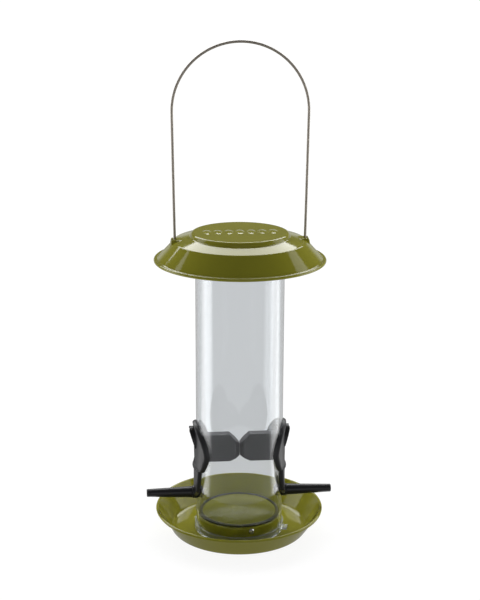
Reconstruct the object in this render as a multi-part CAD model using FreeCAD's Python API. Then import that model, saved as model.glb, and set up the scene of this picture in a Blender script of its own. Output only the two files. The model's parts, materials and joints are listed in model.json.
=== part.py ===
"""Hanging tube seed feeder: a clear tube held between a pressed-steel lid and tray.

Frame: +Z up, origin on the tube's axis at the underside of the tray, ports on -X and +X.
Units are millimetres.  Each physical piece is one function and one STEP file.
"""
import FreeCAD, Part
import math
import os

from FreeCAD import Vector

# ---------------------------------------------------------------- driving dimensions
SHEET = 0.8                 # steel sheet of the lid, tray and dome
FIT_GAP = 0.1               # between pieces that are assembled and stay put
MOVING_GAP = 0.3            # between pieces that move apart

TUBE_OUTER_R = 35.0
TUBE_WALL = 2.0
TUBE_LENGTH = 246.0

TRAY_RIM_R = 68.0           # to the outside of the rolled rim
TRAY_FLOOR_R = 54.0         # where floor and wall would meet if the corner were sharp
TRAY_HEIGHT = 19.0
TRAY_CORNER_R = 5.0
RIM_BEAD_R = 1.2            # rolled rims of the tray and the lid
HUB_HEIGHT = 14.0           # raised centre of the tray, inside the tube
HUB_CORNER_R = 1.5
HUB_FOOT_R = 0.5            # tight bend, so that the tube can stand on the floor beside the hub
HUB_LEDGE = 5.0             # width of the hub's top ledge, which carries the dome

SEAL_HEIGHT = 1.4
SEAL_GRIP = 1.0             # how far the seal holds the dome's edge
DOME_RISE = 5.0
DOME_FLAT = 1.5             # flat edge outside the dome's curve

FOOT_RING_WALL = 1.2
RING_TO_SCREW = 2.6         # gap between the foot ring and the screw heads
LUG_REACH = 3.6
LUG_WIDTH = 6.0
LUG_THICKNESS = 2.0
LUG_ANGLE = -14.0           # degrees from +X

SCREW_COUNT = 3
SCREW_FIRST_ANGLE = -78.0   # degrees from +X; the front screw stands just off the middle
SCREW_SHANK_R = 1.3
SCREW_HEAD_R = 2.2
SCREW_HEAD_HEIGHT = 1.6
SCREW_LENGTH = 6.0
SCREW_BELOW_LEDGE = 3.1     # screw axis below the hub's ledge

CUP_PLAY = 2.4              # between the tube and the disc's wall, all round
LID_RING_WIDTH = 13.2       # sloping ring between disc and shoulder
LID_SKIRT_RUN = 15.8        # from the shoulder out to the rolled rim's outside
LID_DISC_DROP = 3.4         # height of the disc's short wall
LID_DISC_EDGE_R = 2.0
LID_SHOULDER_DROP = 3.1     # fall of the sloping ring
LID_SKIRT_DROP = 14.6
LID_LIP = 1.6               # width of the flat lip inside the rolled rim
LID_BEND_R = 1.5
PAD_REACH = 8.4             # raised pads for the wire, inward from the shoulder
PAD_OVERHANG = 3.0          # how far a pad reaches past the shoulder
PAD_WIDTH = 12.0
PAD_FALL = 1.5              # pad top below the top of the sloping ring
SEED_COUNT = 7              # embossed seed shapes on the disc
SEED_LENGTH = 14.0
SEED_WIDTH = 5.6
SEED_PITCH = 8.6
SEED_HEIGHT = 0.6

WIRE_R = 1.0
LEG_INSIDE_SHOULDER = 0.7   # leg's centreline inward from the shoulder, where it enters the lid
LEG_FLARE = 0.8             # degrees that each leg leans outward
BAIL_HEIGHT = 174.8         # hinge axis to the top of the arch's centreline
HINGE_BELOW_TOP = 28.6      # hinge axis below the tube's top edge
WIRE_BEND_R = 3.5
HOOK_BEND_R = 1.6
HOOK_INSET = 2.6            # gap between the tube's bore and the turned-up end's centreline
HOOK_RISE = 6.0
LID_TRAVEL = 90.0
SLOT_END_GAP = 0.5          # wire to slot end, at both ends of the lid's travel
SLOT_SIDE_GAP = 0.7

SADDLE_WALL = 2.0           # port shell's curved plate
LEAF_ABOVE_FEED = 11.5      # top of the leaf above the feed opening
LEAF_WIDEST = 11.4          # height of the leaf's widest place above the opening's foot
LEAF_HALF_WIDTH = 24.4
BROW_WIDTH_SHARE = 0.74     # leaf's shoulder: share of the half width,
BROW_HEIGHT_SHARE = 0.64    # and of the height from the widest place to the top
CHEEK_INSET = 2.0           # leaf's half width less its width half-way down to the hip
HIP_BELOW_FEED = 2.8        # foot of the leaf's head, below the opening's foot
HIP_HALF_WIDTH = 19.0
LEG_TOP_BELOW_HIP = 0.6
LEG_TOP_HALF_WIDTH = 16.4
LEG_FOOT_ABOVE_PERCH = 4.5
LEG_FOOT_HALF_WIDTH = 12.9
LEAF_TIP_BELOW_PERCH = 5.6
LEAF_RIM_WIDTH = 2.2        # raised edge of the leaf
LEAF_RIM_HEIGHT = 0.7
FEED_BOTTOM_Z = 58.6
FEED_HEIGHT = 22.4
FEED_TOP_HALF_WIDTH = 5.0
FEED_BOTTOM_HALF_WIDTH = 8.0
HOOD_WALL = 1.6
HOOD_TOP_GAP = 7.4          # hood roof above the feed opening
HOOD_REACH = 4.0            # hood's furthest point beyond the saddle plate
HOOD_HALF_WIDTH = 10.5
HOOD_FOOT = 14.4            # where the hood's cheeks run out, above the opening's foot
SILL_R = 1.0                # bead under the feed opening
SILL_BELOW_FEED = 3.6

PERCH_Z = 31.5
PERCH_REACH = 37.1          # from the boss to the tip
PERCH_ROOT_R = 4.7
PERCH_TIP_R = 3.3
PERCH_END_R = 0.8
PERCH_SHANK_R = 3.0
PERCH_SHANK_INSIDE = 4.4    # shank standing into the tube
PERCH_BOSS_R = 5.4
PERCH_BOSS_HEIGHT = 1.2
CLIP_R = 4.8
CLIP_THICKNESS = 2.6
CLIP_NOTCH = 1.4            # flat along each side of a clip

BAFFLE_WALL = 1.5
BAFFLE_TOP_HALF_WIDTH = 3.8
BAFFLE_ABOVE_FEED = 1.0
BAFFLE_ABOVE_FOOT = 2.9     # baffle's lower edge above the opening's foot
BAFFLE_NOTCH_LENGTH = 8.2   # sloped ends where the two baffles meet
BAFFLE_TOP_NOTCH = 8.2
BAFFLE_BOTTOM_NOTCH = 3.4
BAFFLE_NOSE = 3.5           # closed end, with both flanks turned inward by as much
BAFFLE_MEETING_GAP = 0.4
BAFFLE_PLATE_MARGIN = 2.6   # inner plate past the baffle's flanks and top
BAFFLE_PLATE_SILL = 4.0     # inner plate below the opening's foot

# ---------------------------------------------------------------- derived dimensions
TUBE_BORE_R = TUBE_OUTER_R - TUBE_WALL
TUBE_BOTTOM_Z = SHEET + FIT_GAP
TUBE_TOP_Z = TUBE_BOTTOM_Z + TUBE_LENGTH
HUB_R = TUBE_BORE_R - FIT_GAP
SEAL_BOTTOM_Z = HUB_HEIGHT + FIT_GAP
DOME_EDGE_R = TUBE_BORE_R - 2 * SEAL_GRIP
DOME_EDGE_Z = SEAL_BOTTOM_Z + (SEAL_HEIGHT - SHEET) / 2
SCREW_Z = HUB_HEIGHT - SCREW_BELOW_LEDGE
FOOT_RING_TOP_Z = SCREW_Z - SCREW_HEAD_R - RING_TO_SCREW

LID_DISC_R = TUBE_OUTER_R + CUP_PLAY + SHEET
LID_SHOULDER_R = LID_DISC_R + LID_RING_WIDTH
LID_RIM_R = LID_SHOULDER_R + LID_SKIRT_RUN
LID_TOP_Z = TUBE_TOP_Z + MOVING_GAP + SHEET
LID_RING_Z = LID_TOP_Z - LID_DISC_DROP
LID_SHOULDER_Z = LID_RING_Z - LID_SHOULDER_DROP
LID_LIP_Z = LID_SHOULDER_Z - LID_SKIRT_DROP
PAD_TOP_Z = LID_RING_Z - PAD_FALL
PAD_INNER_R = LID_SHOULDER_R - PAD_REACH
PAD_OUTER_R = LID_SHOULDER_R + PAD_OVERHANG

HINGE_Z = TUBE_TOP_Z - HINGE_BELOW_TOP
BAIL_TOP_Z = HINGE_Z + BAIL_HEIGHT
FLARE = math.radians(LEG_FLARE)
LEG_ENTRY_X = LID_SHOULDER_R - LEG_INSIDE_SHOULDER
ARCH_R = (LEG_ENTRY_X + (BAIL_TOP_Z - PAD_TOP_Z) * math.tan(FLARE)) / (
    math.cos(FLARE) + math.tan(FLARE) * (1 + math.sin(FLARE)))
ARCH_Z = BAIL_TOP_Z - ARCH_R
LEG_TOP = Vector(ARCH_R * math.cos(FLARE), 0, ARCH_Z - ARCH_R * math.sin(FLARE))

SADDLE_INNER_R = TUBE_OUTER_R + FIT_GAP
SADDLE_OUTER_R = SADDLE_INNER_R + SADDLE_WALL
FEED_TOP_Z = FEED_BOTTOM_Z + FEED_HEIGHT
LEAF_TOP_Z = FEED_TOP_Z + LEAF_ABOVE_FEED
LEAF_WIDEST_Z = FEED_BOTTOM_Z + LEAF_WIDEST
HIP_Z = FEED_BOTTOM_Z - HIP_BELOW_FEED
LEG_TOP_Z = HIP_Z - LEG_TOP_BELOW_HIP
LEG_FOOT_Z = PERCH_Z + LEG_FOOT_ABOVE_PERCH
SILL_Z = FEED_BOTTOM_Z - SILL_BELOW_FEED
LEAF_TIP_Z = PERCH_Z - LEAF_TIP_BELOW_PERCH
HOOD_FOOT_Z = FEED_BOTTOM_Z + HOOD_FOOT
HOOD_TOP_Z = FEED_TOP_Z + HOOD_TOP_GAP
PERCH_ROOT_X = SADDLE_OUTER_R + PERCH_BOSS_HEIGHT + FIT_GAP
PERCH_TIP_X = PERCH_ROOT_X + PERCH_REACH
BAFFLE_PLATE_R = TUBE_BORE_R - FIT_GAP
BAFFLE_BOTTOM_HALF_WIDTH = FEED_BOTTOM_HALF_WIDTH + BAFFLE_WALL
BAFFLE_TOP_Z = FEED_TOP_Z + BAFFLE_ABOVE_FEED
BAFFLE_BOTTOM_Z = FEED_BOTTOM_Z + BAFFLE_ABOVE_FOOT

Z_AXIS = Vector(0, 0, 1)
X_AXIS = Vector(1, 0, 0)
ORIGIN = Vector(0, 0, 0)
BEYOND = 3.0                # how far cutting tools run past what they cut


# ---------------------------------------------------------------- helpers
def point(r, z):
    """Point in the half plane that profiles are drawn in."""
    return Vector(r, 0, z)


def rounded_path(corners, radii, offset=0.0):
    """Edges of a path in the XZ plane, moved sideways by offset, with an arc at each corner.

    corners are the path's vertices and radii its bend radii, one per inner vertex.
    """
    headings = [(b - a).normalize() for a, b in zip(corners, corners[1:])]
    sides = [Vector(-h.z, 0, h.x) for h in headings]
    moved = [corners[0] + sides[0] * offset]
    turns = []
    for index in range(1, len(corners) - 1):
        before, after = headings[index - 1], headings[index]
        mitre = sides[index - 1] + sides[index]
        scale = offset / (1 + sides[index - 1].dot(sides[index]))
        moved.append(corners[index] + mitre * scale)
        turns.append(before.x * after.z - before.z * after.x)
    moved.append(corners[-1] + sides[-1] * offset)

    edges = []
    start = moved[0]
    for index, turn in enumerate(turns, 1):
        before, after = headings[index - 1], headings[index]
        radius = radii[index - 1] - math.copysign(1, turn) * offset
        half_angle = before.getAngle(after) / 2
        setback = radius * math.tan(half_angle)
        entry = moved[index] - before * setback
        leave = moved[index] + after * setback
        towards_centre = (after - before).normalize()
        centre = moved[index] + towards_centre * (radius / math.cos(half_angle))
        middle = centre - towards_centre * radius
        edges.append(Part.makeLine(start, entry))
        edges.append(Part.Arc(entry, middle, leave).toShape())
        start = leave
    edges.append(Part.makeLine(start, moved[-1]))
    return edges


def revolve(wire):
    """Solid of revolution about Z from a closed wire in the XZ plane."""
    return Part.Face(wire).revolve(ORIGIN, Z_AXIS, 360)


def pressed_sheet(corners, radii):
    """Sheet-metal shell of revolution whose middle surface follows a rounded path."""
    outer = rounded_path(corners, radii, SHEET / 2)
    inner = rounded_path(corners, radii, -SHEET / 2)
    first_cap = Part.makeLine(outer[0].Vertexes[0].Point, inner[0].Vertexes[0].Point)
    last_cap = Part.makeLine(outer[-1].Vertexes[-1].Point, inner[-1].Vertexes[-1].Point)
    edges = Part.sortEdges(outer + inner + [first_cap, last_cap])[0]
    return revolve(Part.Wire(edges))


def ring(inner_r, outer_r, bottom_z, top_z):
    """Plain round ring about Z."""
    height = top_z - bottom_z
    base = point(0, bottom_z)
    return Part.makeCylinder(outer_r, height, base).cut(Part.makeCylinder(inner_r, height, base))


def bead(centre_r, centre_z):
    """Rolled edge: a round bead about Z."""
    return Part.makeTorus(centre_r, RIM_BEAD_R, point(0, centre_z))


def extruded_outline(edges, start_x, end_x):
    """Prism along X from an outline drawn in the YZ plane."""
    face = Part.Face(Part.Wire(Part.sortEdges(edges)[0]))
    face.translate(Vector(start_x, 0, 0))
    return face.extrude(Vector(end_x - start_x, 0, 0))


def polygon_prism(corners, start_x, end_x):
    """Prism along X from (y, z) corners."""
    loop = [Vector(0, y, z) for y, z in corners + corners[:1]]
    return extruded_outline(Part.makePolygon(loop).Edges, start_x, end_x)


def turned(shape, degrees):
    """Copy of a shape, turned about Z."""
    copy = shape.copy()
    copy.rotate(ORIGIN, Z_AXIS, degrees)
    return copy


def wire_x(z):
    """Distance from the axis to the bail's leg at height z."""
    return LEG_TOP.x - (LEG_TOP.z - z) * math.tan(FLARE)


def leaf_edges(inset=0.0):
    """Outline of the port's leaf in the YZ plane, drawn inward by inset."""
    def side(sign):
        top = Vector(0, 0, LEAF_TOP_Z - inset)
        widest = Vector(0, sign * (LEAF_HALF_WIDTH - inset), LEAF_WIDEST_Z)
        brow_z = LEAF_WIDEST_Z + (top.z - LEAF_WIDEST_Z) * BROW_HEIGHT_SHARE
        brow = Vector(0, widest.y * BROW_WIDTH_SHARE, brow_z)
        hip = Vector(0, sign * (HIP_HALF_WIDTH - inset), HIP_Z + inset)
        cheek = Vector(0, sign * (LEAF_HALF_WIDTH - inset - CHEEK_INSET), (LEAF_WIDEST_Z + HIP_Z) / 2)
        leg_top = Vector(0, sign * (LEG_TOP_HALF_WIDTH - inset), LEG_TOP_Z)
        foot = Vector(0, sign * (LEG_FOOT_HALF_WIDTH - inset), LEG_FOOT_Z)
        tip = Vector(0, 0, LEAF_TIP_Z + inset)
        return [
            Part.Arc(top, brow, widest).toShape(),
            Part.Arc(widest, cheek, hip).toShape(),
            Part.makeLine(hip, leg_top),
            Part.makeLine(leg_top, foot),
            Part.makeLine(foot, tip),
        ]
    return side(1) + side(-1)


def feed_opening(start_x, end_x):
    """Cutting tool for the feed opening, wider at the bottom than at the top."""
    corners = [
        (-FEED_BOTTOM_HALF_WIDTH, FEED_BOTTOM_Z),
        (FEED_BOTTOM_HALF_WIDTH, FEED_BOTTOM_Z),
        (FEED_TOP_HALF_WIDTH, FEED_TOP_Z),
        (-FEED_TOP_HALF_WIDTH, FEED_TOP_Z),
    ]
    return polygon_prism(corners, start_x, end_x)


def cylinder_x(radius, start_x, end_x, z):
    """Cylinder along X at height z."""
    return Part.makeCylinder(radius, end_x - start_x, Vector(start_x, 0, z), X_AXIS)


def screw_axis_copies(shape):
    """One copy of a shape at each screw position."""
    step = 360 / SCREW_COUNT
    return [turned(shape, SCREW_FIRST_ANGLE + step * index) for index in range(SCREW_COUNT)]


# ---------------------------------------------------------------- steel pieces
def make_tray():
    """Round dish with a rolled rim and a raised hub that fits inside the tube."""
    half = SHEET / 2
    ledge_r = HUB_R - HUB_LEDGE
    rim_centre = point(TRAY_RIM_R - RIM_BEAD_R, TRAY_HEIGHT - RIM_BEAD_R)
    corners = [
        point(ledge_r, HUB_HEIGHT - half),
        point(HUB_R - half, HUB_HEIGHT - half),
        point(HUB_R - half, half),
        point(TRAY_FLOOR_R, half),
        rim_centre,
    ]
    dish = pressed_sheet(corners, [HUB_CORNER_R, HUB_FOOT_R, TRAY_CORNER_R])
    dish = dish.fuse(bead(rim_centre.x, rim_centre.z))
    pilot = cylinder_x(SCREW_SHANK_R + FIT_GAP / 2, HUB_R - BEYOND, HUB_R + BEYOND, SCREW_Z)
    return dish.cut(screw_axis_copies(pilot))


def make_base_dome():
    """Shallow dome that closes the tube's foot and sheds seed outward."""
    rise_to = DOME_EDGE_Z + DOME_RISE
    flat_r = DOME_EDGE_R - DOME_FLAT

    def cap(lift):
        radius = (flat_r ** 2 + DOME_RISE ** 2) / (2 * DOME_RISE)
        centre_z = rise_to - radius
        half_way = math.asin(flat_r / radius) / 2
        middle = point(radius * math.sin(half_way), centre_z + radius * math.cos(half_way) + lift)
        return Part.Arc(point(0, rise_to + lift), middle, point(flat_r, DOME_EDGE_Z + lift)).toShape()

    lower_edge = point(DOME_EDGE_R, DOME_EDGE_Z)
    upper_edge = point(DOME_EDGE_R, DOME_EDGE_Z + SHEET)
    edges = [
        cap(0),
        Part.makeLine(point(flat_r, DOME_EDGE_Z), lower_edge),
        Part.makeLine(lower_edge, upper_edge),
        Part.makeLine(upper_edge, point(flat_r, DOME_EDGE_Z + SHEET)),
        cap(SHEET),
        Part.makeLine(point(0, rise_to + SHEET), point(0, rise_to)),
    ]
    return revolve(Part.Wire(Part.sortEdges(edges)[0]))


def make_lid():
    """Lid: raised disc that cups the tube, sloping ring, skirt and rolled rim."""
    half = SHEET / 2
    rim_centre = point(LID_RIM_R - RIM_BEAD_R, LID_LIP_Z - half)
    skirt_foot_r = rim_centre.x - LID_LIP
    corners = [
        point(0, LID_TOP_Z - half),
        point(LID_DISC_R - half, LID_TOP_Z - half),
        point(LID_DISC_R + half, LID_RING_Z),
        point(LID_SHOULDER_R, LID_SHOULDER_Z - half),
        point(skirt_foot_r, LID_LIP_Z),
        rim_centre,
    ]
    shell = pressed_sheet(corners, [LID_DISC_EDGE_R, LID_BEND_R, LID_BEND_R, LID_BEND_R])
    shell = shell.fuse(bead(rim_centre.x, rim_centre.z))
    for side in (0, 180):
        shell = shell.fuse(turned(pad_block(0), side))
        shell = shell.cut(turned(pad_block(SHEET), side))
        shell = shell.cut(turned(wire_slot(), side))
    return shell.fuse(embossed_seeds()).removeSplitter()


def pad_block(inset):
    """Raised pad on the sloping ring; inset by the sheet it is the pad's hollow underside."""
    below = LID_SHOULDER_Z - SHEET - 2 * PAD_FALL
    top = PAD_TOP_Z - inset
    inner = PAD_INNER_R + 2 * inset
    width = PAD_WIDTH - 2 * inset
    height = top - below
    block = Part.makeBox(PAD_OUTER_R - inset - inner, width, height, Vector(inner, -width / 2, below))
    return block.cut(lid_underside()) if inset == 0 else block.common(lid_hollow())


def lid_profile_solid(drop):
    """Solid filling everything under the sloping ring and skirt, lowered by drop."""
    corners = [
        point(0, LID_RING_Z - drop),
        point(LID_DISC_R, LID_RING_Z - drop),
        point(LID_SHOULDER_R, LID_SHOULDER_Z - drop),
        point(LID_RIM_R, LID_LIP_Z - drop),
        point(0, LID_LIP_Z - drop),
        point(0, LID_RING_Z - drop),
    ]
    return revolve(Part.makePolygon(corners))


def lid_underside():
    """Space under the lid's sheet, which a pad must not fill."""
    return lid_profile_solid(SHEET)


def lid_hollow():
    """Reach of a pad's hollow: everything above a line a little under the sheet."""
    tall = Part.makeCylinder(LID_RIM_R, LID_TOP_Z, ORIGIN)
    return tall.cut(lid_profile_solid(2 * SHEET))


def wire_slot():
    """Round-ended slot that lets the flared leg through over the lid's whole travel."""
    half_width = WIRE_R + SLOT_SIDE_GAP
    first = wire_x(PAD_TOP_Z) - WIRE_R - SLOT_END_GAP + half_width
    last = wire_x(PAD_TOP_Z + LID_TRAVEL) + WIRE_R + SLOT_END_GAP - half_width
    base_z = PAD_TOP_Z - SHEET - BEYOND
    height = SHEET + 2 * BEYOND
    slot = Part.makeBox(last - first, 2 * half_width, height, Vector(first, -half_width, base_z))
    for x in (first, last):
        slot = slot.fuse(Part.makeCylinder(half_width, height, Vector(x, 0, base_z)))
    return slot


def embossed_seeds():
    """Row of plain seed shapes raised on the lid's disc."""
    round_r = (SEED_LENGTH ** 2 + SEED_WIDTH ** 2) / (4 * SEED_WIDTH)
    offset = round_r - SEED_WIDTH / 2
    base_z = LID_TOP_Z - SHEET / 2
    height = SEED_HEIGHT + SHEET / 2
    seeds = []
    for index in range(SEED_COUNT):
        x = (index - (SEED_COUNT - 1) / 2) * SEED_PITCH
        left = Part.makeCylinder(round_r, height, Vector(x - offset, 0, base_z))
        right = Part.makeCylinder(round_r, height, Vector(x + offset, 0, base_z))
        seeds.append(left.common(right))
    return seeds


def make_handle():
    """One steel wire: hooked ends through the tube, two flared legs and a round arch."""
    hook_x = TUBE_BORE_R - HOOK_INSET
    elbow = Vector(wire_x(HINGE_Z), 0, HINGE_Z)
    right_corners = [point(hook_x, HINGE_Z + HOOK_RISE), point(hook_x, HINGE_Z), elbow, LEG_TOP]
    right = rounded_path(right_corners, [HOOK_BEND_R, WIRE_BEND_R])
    left = [edge.mirror(ORIGIN, X_AXIS) for edge in right]
    arch_top = point(0, ARCH_Z + ARCH_R)
    far_leg_top = Vector(-LEG_TOP.x, 0, LEG_TOP.z)
    arch = Part.Arc(LEG_TOP, arch_top, far_leg_top).toShape()
    spine = Part.Wire(Part.sortEdges(right + [arch] + left)[0])
    section = Part.Wire(Part.makeCircle(WIRE_R, right_corners[0], Z_AXIS))
    return Part.Solid(spine.makePipeShell([section], True, False))


# ---------------------------------------------------------------- tube, seal, ring, screws
def make_tube():
    """Clear tube with feed openings, perch holes, wire holes and screw holes."""
    tube = ring(TUBE_BORE_R, TUBE_OUTER_R, TUBE_BOTTOM_Z, TUBE_TOP_Z)
    through = TUBE_OUTER_R + BEYOND
    feed = feed_opening(0, through)
    perch_hole = cylinder_x(PERCH_SHANK_R + FIT_GAP, 0, through, PERCH_Z)
    wire_hole = cylinder_x(WIRE_R + FIT_GAP / 2, 0, through, HINGE_Z)
    for side in (0, 180):
        tube = tube.cut([turned(tool, side) for tool in (feed, perch_hole, wire_hole)])
    screw_hole = cylinder_x(SCREW_SHANK_R + FIT_GAP, 0, through, SCREW_Z)
    return tube.cut(screw_axis_copies(screw_hole))


def make_dome_seal():
    """Rubber ring on the hub's ledge that grips the dome's edge against the tube's bore."""
    inner_r = DOME_EDGE_R - SEAL_GRIP
    body = ring(inner_r, TUBE_BORE_R - FIT_GAP, SEAL_BOTTOM_Z, SEAL_BOTTOM_Z + SEAL_HEIGHT)
    groove_bottom = DOME_EDGE_Z - FIT_GAP / 2
    groove_top = DOME_EDGE_Z + SHEET + FIT_GAP / 2
    return body.cut(ring(inner_r - BEYOND, DOME_EDGE_R + FIT_GAP, groove_bottom, groove_top))


def make_foot_ring():
    """Clear collar round the tube's foot, with one lug on the right."""
    inner_r = TUBE_OUTER_R + FIT_GAP
    outer_r = inner_r + FOOT_RING_WALL
    collar = ring(inner_r, outer_r, TUBE_BOTTOM_Z, FOOT_RING_TOP_Z)
    start_x = inner_r + FOOT_RING_WALL / 2
    corner = Vector(start_x, -LUG_WIDTH / 2, TUBE_BOTTOM_Z)
    lug = Part.makeBox(outer_r + LUG_REACH - start_x, LUG_WIDTH, LUG_THICKNESS, corner)
    return collar.fuse(turned(lug, LUG_ANGLE)).removeSplitter()


def make_hub_screws():
    """Round-headed screws through the tube's wall into the hub, as separate solids."""
    shoulder_x = TUBE_OUTER_R + FIT_GAP
    shank = cylinder_x(SCREW_SHANK_R, shoulder_x - SCREW_LENGTH, shoulder_x, SCREW_Z)
    head_r = (SCREW_HEAD_R ** 2 + SCREW_HEAD_HEIGHT ** 2) / (2 * SCREW_HEAD_HEIGHT)
    ball_centre = Vector(shoulder_x + SCREW_HEAD_HEIGHT - head_r, 0, SCREW_Z)
    ball = Part.makeSphere(head_r, ball_centre)
    head = ball.common(cylinder_x(SCREW_HEAD_R, shoulder_x, shoulder_x + SCREW_HEAD_HEIGHT, SCREW_Z))
    screw = shank.fuse(head).removeSplitter()
    return Part.makeCompound(screw_axis_copies(screw))


# ---------------------------------------------------------------- port pieces, built on +X
def curved_plate(outline_edges, inner_r, outer_r):
    """Part of a cylindrical shell that lies inside an outline drawn in the YZ plane."""
    prism = extruded_outline(outline_edges, BEYOND, outer_r + BEYOND)
    return ring(inner_r, outer_r, LEAF_TIP_Z - BEYOND, LEAF_TOP_Z + BEYOND).common(prism)


def make_port_shell():
    """Leaf-shaped saddle with a raised edge, a rain hood, a sill and the perch boss."""
    leaf = curved_plate(leaf_edges(), SADDLE_INNER_R, SADDLE_OUTER_R + LEAF_RIM_HEIGHT)
    field = curved_plate(leaf_edges(LEAF_RIM_WIDTH), SADDLE_OUTER_R, SADDLE_OUTER_R + BEYOND)
    boss_end = SADDLE_OUTER_R + PERCH_BOSS_HEIGHT
    boss = cylinder_x(PERCH_BOSS_R, SADDLE_INNER_R - TUBE_WALL, boss_end, PERCH_Z)
    boss = boss.cut(Part.makeCylinder(SADDLE_INNER_R, LEAF_TOP_Z))
    sill = Part.makeTorus(SADDLE_OUTER_R, SILL_R, point(0, SILL_Z))
    sill_half = LEG_TOP_HALF_WIDTH - LEAF_RIM_WIDTH
    sill_span = Part.makeBox(2 * SADDLE_OUTER_R, 2 * sill_half, LEAF_TOP_Z, Vector(0, -sill_half, 0))
    sill = sill.common(sill_span).cut(Part.makeCylinder(SADDLE_INNER_R, LEAF_TOP_Z))
    shell = leaf.cut(field).fuse([hood(), boss, sill])
    through = SADDLE_OUTER_R + HOOD_REACH + BEYOND
    feed = feed_opening(SADDLE_INNER_R - TUBE_WALL - BEYOND, through)
    inside_hood = feed.common(hood_cavity_limit())
    shank_hole = cylinder_x(PERCH_SHANK_R + FIT_GAP / 2, 0, through, PERCH_Z)
    return shell.cut([inside_hood, shank_hole]).removeSplitter()


def hood():
    """Arched roof that leans outward and runs out into the saddle on both sides of the opening."""
    root_x = math.sqrt(SADDLE_INNER_R ** 2 - HOOD_HALF_WIDTH ** 2)
    outer = hood_wedge(root_x, HOOD_TOP_Z, HOOD_HALF_WIDTH, SADDLE_OUTER_R + HOOD_REACH)
    inner = hood_wedge(root_x - BEYOND, HOOD_TOP_Z - HOOD_WALL, HOOD_HALF_WIDTH - HOOD_WALL,
                       SADDLE_OUTER_R + HOOD_REACH + BEYOND)
    return outer.cut(inner).cut(Part.makeCylinder(SADDLE_INNER_R, LEAF_TOP_Z))


def hood_wedge(root_x, top_z, half_width, reach_x):
    """Wedge that leans outward from the saddle, inside a half-ellipse arch."""
    foot_x = SADDLE_OUTER_R - LEAF_RIM_HEIGHT
    side = [
        Vector(root_x, -half_width, HOOD_FOOT_Z),
        Vector(foot_x, -half_width, HOOD_FOOT_Z),
        Vector(reach_x, -half_width, top_z),
        Vector(root_x, -half_width, top_z),
        Vector(root_x, -half_width, HOOD_FOOT_Z),
    ]
    wedge = Part.Face(Part.makePolygon(side)).extrude(Vector(0, 2 * half_width, 0))
    arch = Part.Ellipse(Vector(0, 0, top_z), Vector(0, half_width, HOOD_FOOT_Z), Vector(0, 0, HOOD_FOOT_Z))
    return wedge.common(extruded_outline([arch.toShape()], 0, reach_x))


def hood_cavity_limit():
    """Keeps the feed opening's cut under the hood's roof."""
    size = 2 * (SADDLE_OUTER_R + HOOD_REACH + BEYOND)
    return Part.makeBox(size, size, HOOD_TOP_Z - HOOD_WALL, Vector(0, -size / 2, 0))


def baffle_outline(inset, drop):
    """Trapezoid (y, z) section of the baffle, inset by its wall; drop opens the underside."""
    slope = (BAFFLE_BOTTOM_HALF_WIDTH - BAFFLE_TOP_HALF_WIDTH) / (BAFFLE_TOP_Z - BAFFLE_BOTTOM_Z)
    top_half = BAFFLE_TOP_HALF_WIDTH + slope * inset - inset
    bottom_half = BAFFLE_BOTTOM_HALF_WIDTH + slope * drop - inset
    return [
        (-bottom_half, BAFFLE_BOTTOM_Z - drop),
        (bottom_half, BAFFLE_BOTTOM_Z - drop),
        (top_half, BAFFLE_TOP_Z - inset),
        (-top_half, BAFFLE_TOP_Z - inset),
    ]


def make_port_baffle():
    """Inner plate and ridge-shaped seed baffle that reaches to the tube's axis."""
    plate_inner_r = BAFFLE_PLATE_R - BAFFLE_WALL
    root_x = plate_inner_r - BAFFLE_WALL
    ridge = polygon_prism(baffle_outline(0, 0), BAFFLE_MEETING_GAP / 2, root_x + BAFFLE_WALL)
    ridge = ridge.common(Part.makeCylinder(BAFFLE_PLATE_R, BAFFLE_TOP_Z))
    hollow = polygon_prism(baffle_outline(BAFFLE_WALL, BEYOND), BAFFLE_NOSE, BAFFLE_PLATE_R + BEYOND)
    plate_half = BAFFLE_BOTTOM_HALF_WIDTH + BAFFLE_PLATE_MARGIN
    plate_bottom = FEED_BOTTOM_Z - BAFFLE_PLATE_SILL
    plate_top = BAFFLE_TOP_Z + BAFFLE_PLATE_MARGIN
    plate_corners = [(-plate_half, plate_bottom), (plate_half, plate_bottom),
                     (plate_half, plate_top), (-plate_half, plate_top)]
    plate_edges = Part.makePolygon([Vector(0, y, z) for y, z in plate_corners + plate_corners[:1]]).Edges
    plate = curved_plate(plate_edges, plate_inner_r, BAFFLE_PLATE_R)
    baffle = ridge.fuse(plate).cut(hollow.common(feed_depth_limit()))
    return baffle.cut([end_notch(True), end_notch(False), nose_wedge(1), nose_wedge(-1)]).removeSplitter()


def feed_depth_limit():
    """Keeps the baffle's hollow from cutting the plate's lower edge through."""
    size = 2 * TUBE_OUTER_R
    reach = BAFFLE_PLATE_R - 2 * BAFFLE_WALL
    low_corner = Vector(0, -TUBE_OUTER_R, BAFFLE_BOTTOM_Z - BEYOND)
    port_corner = Vector(0, -TUBE_OUTER_R, FEED_BOTTOM_Z)
    return Part.makeBox(reach, size, size, low_corner).fuse(Part.makeBox(size, size, size, port_corner))


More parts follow.
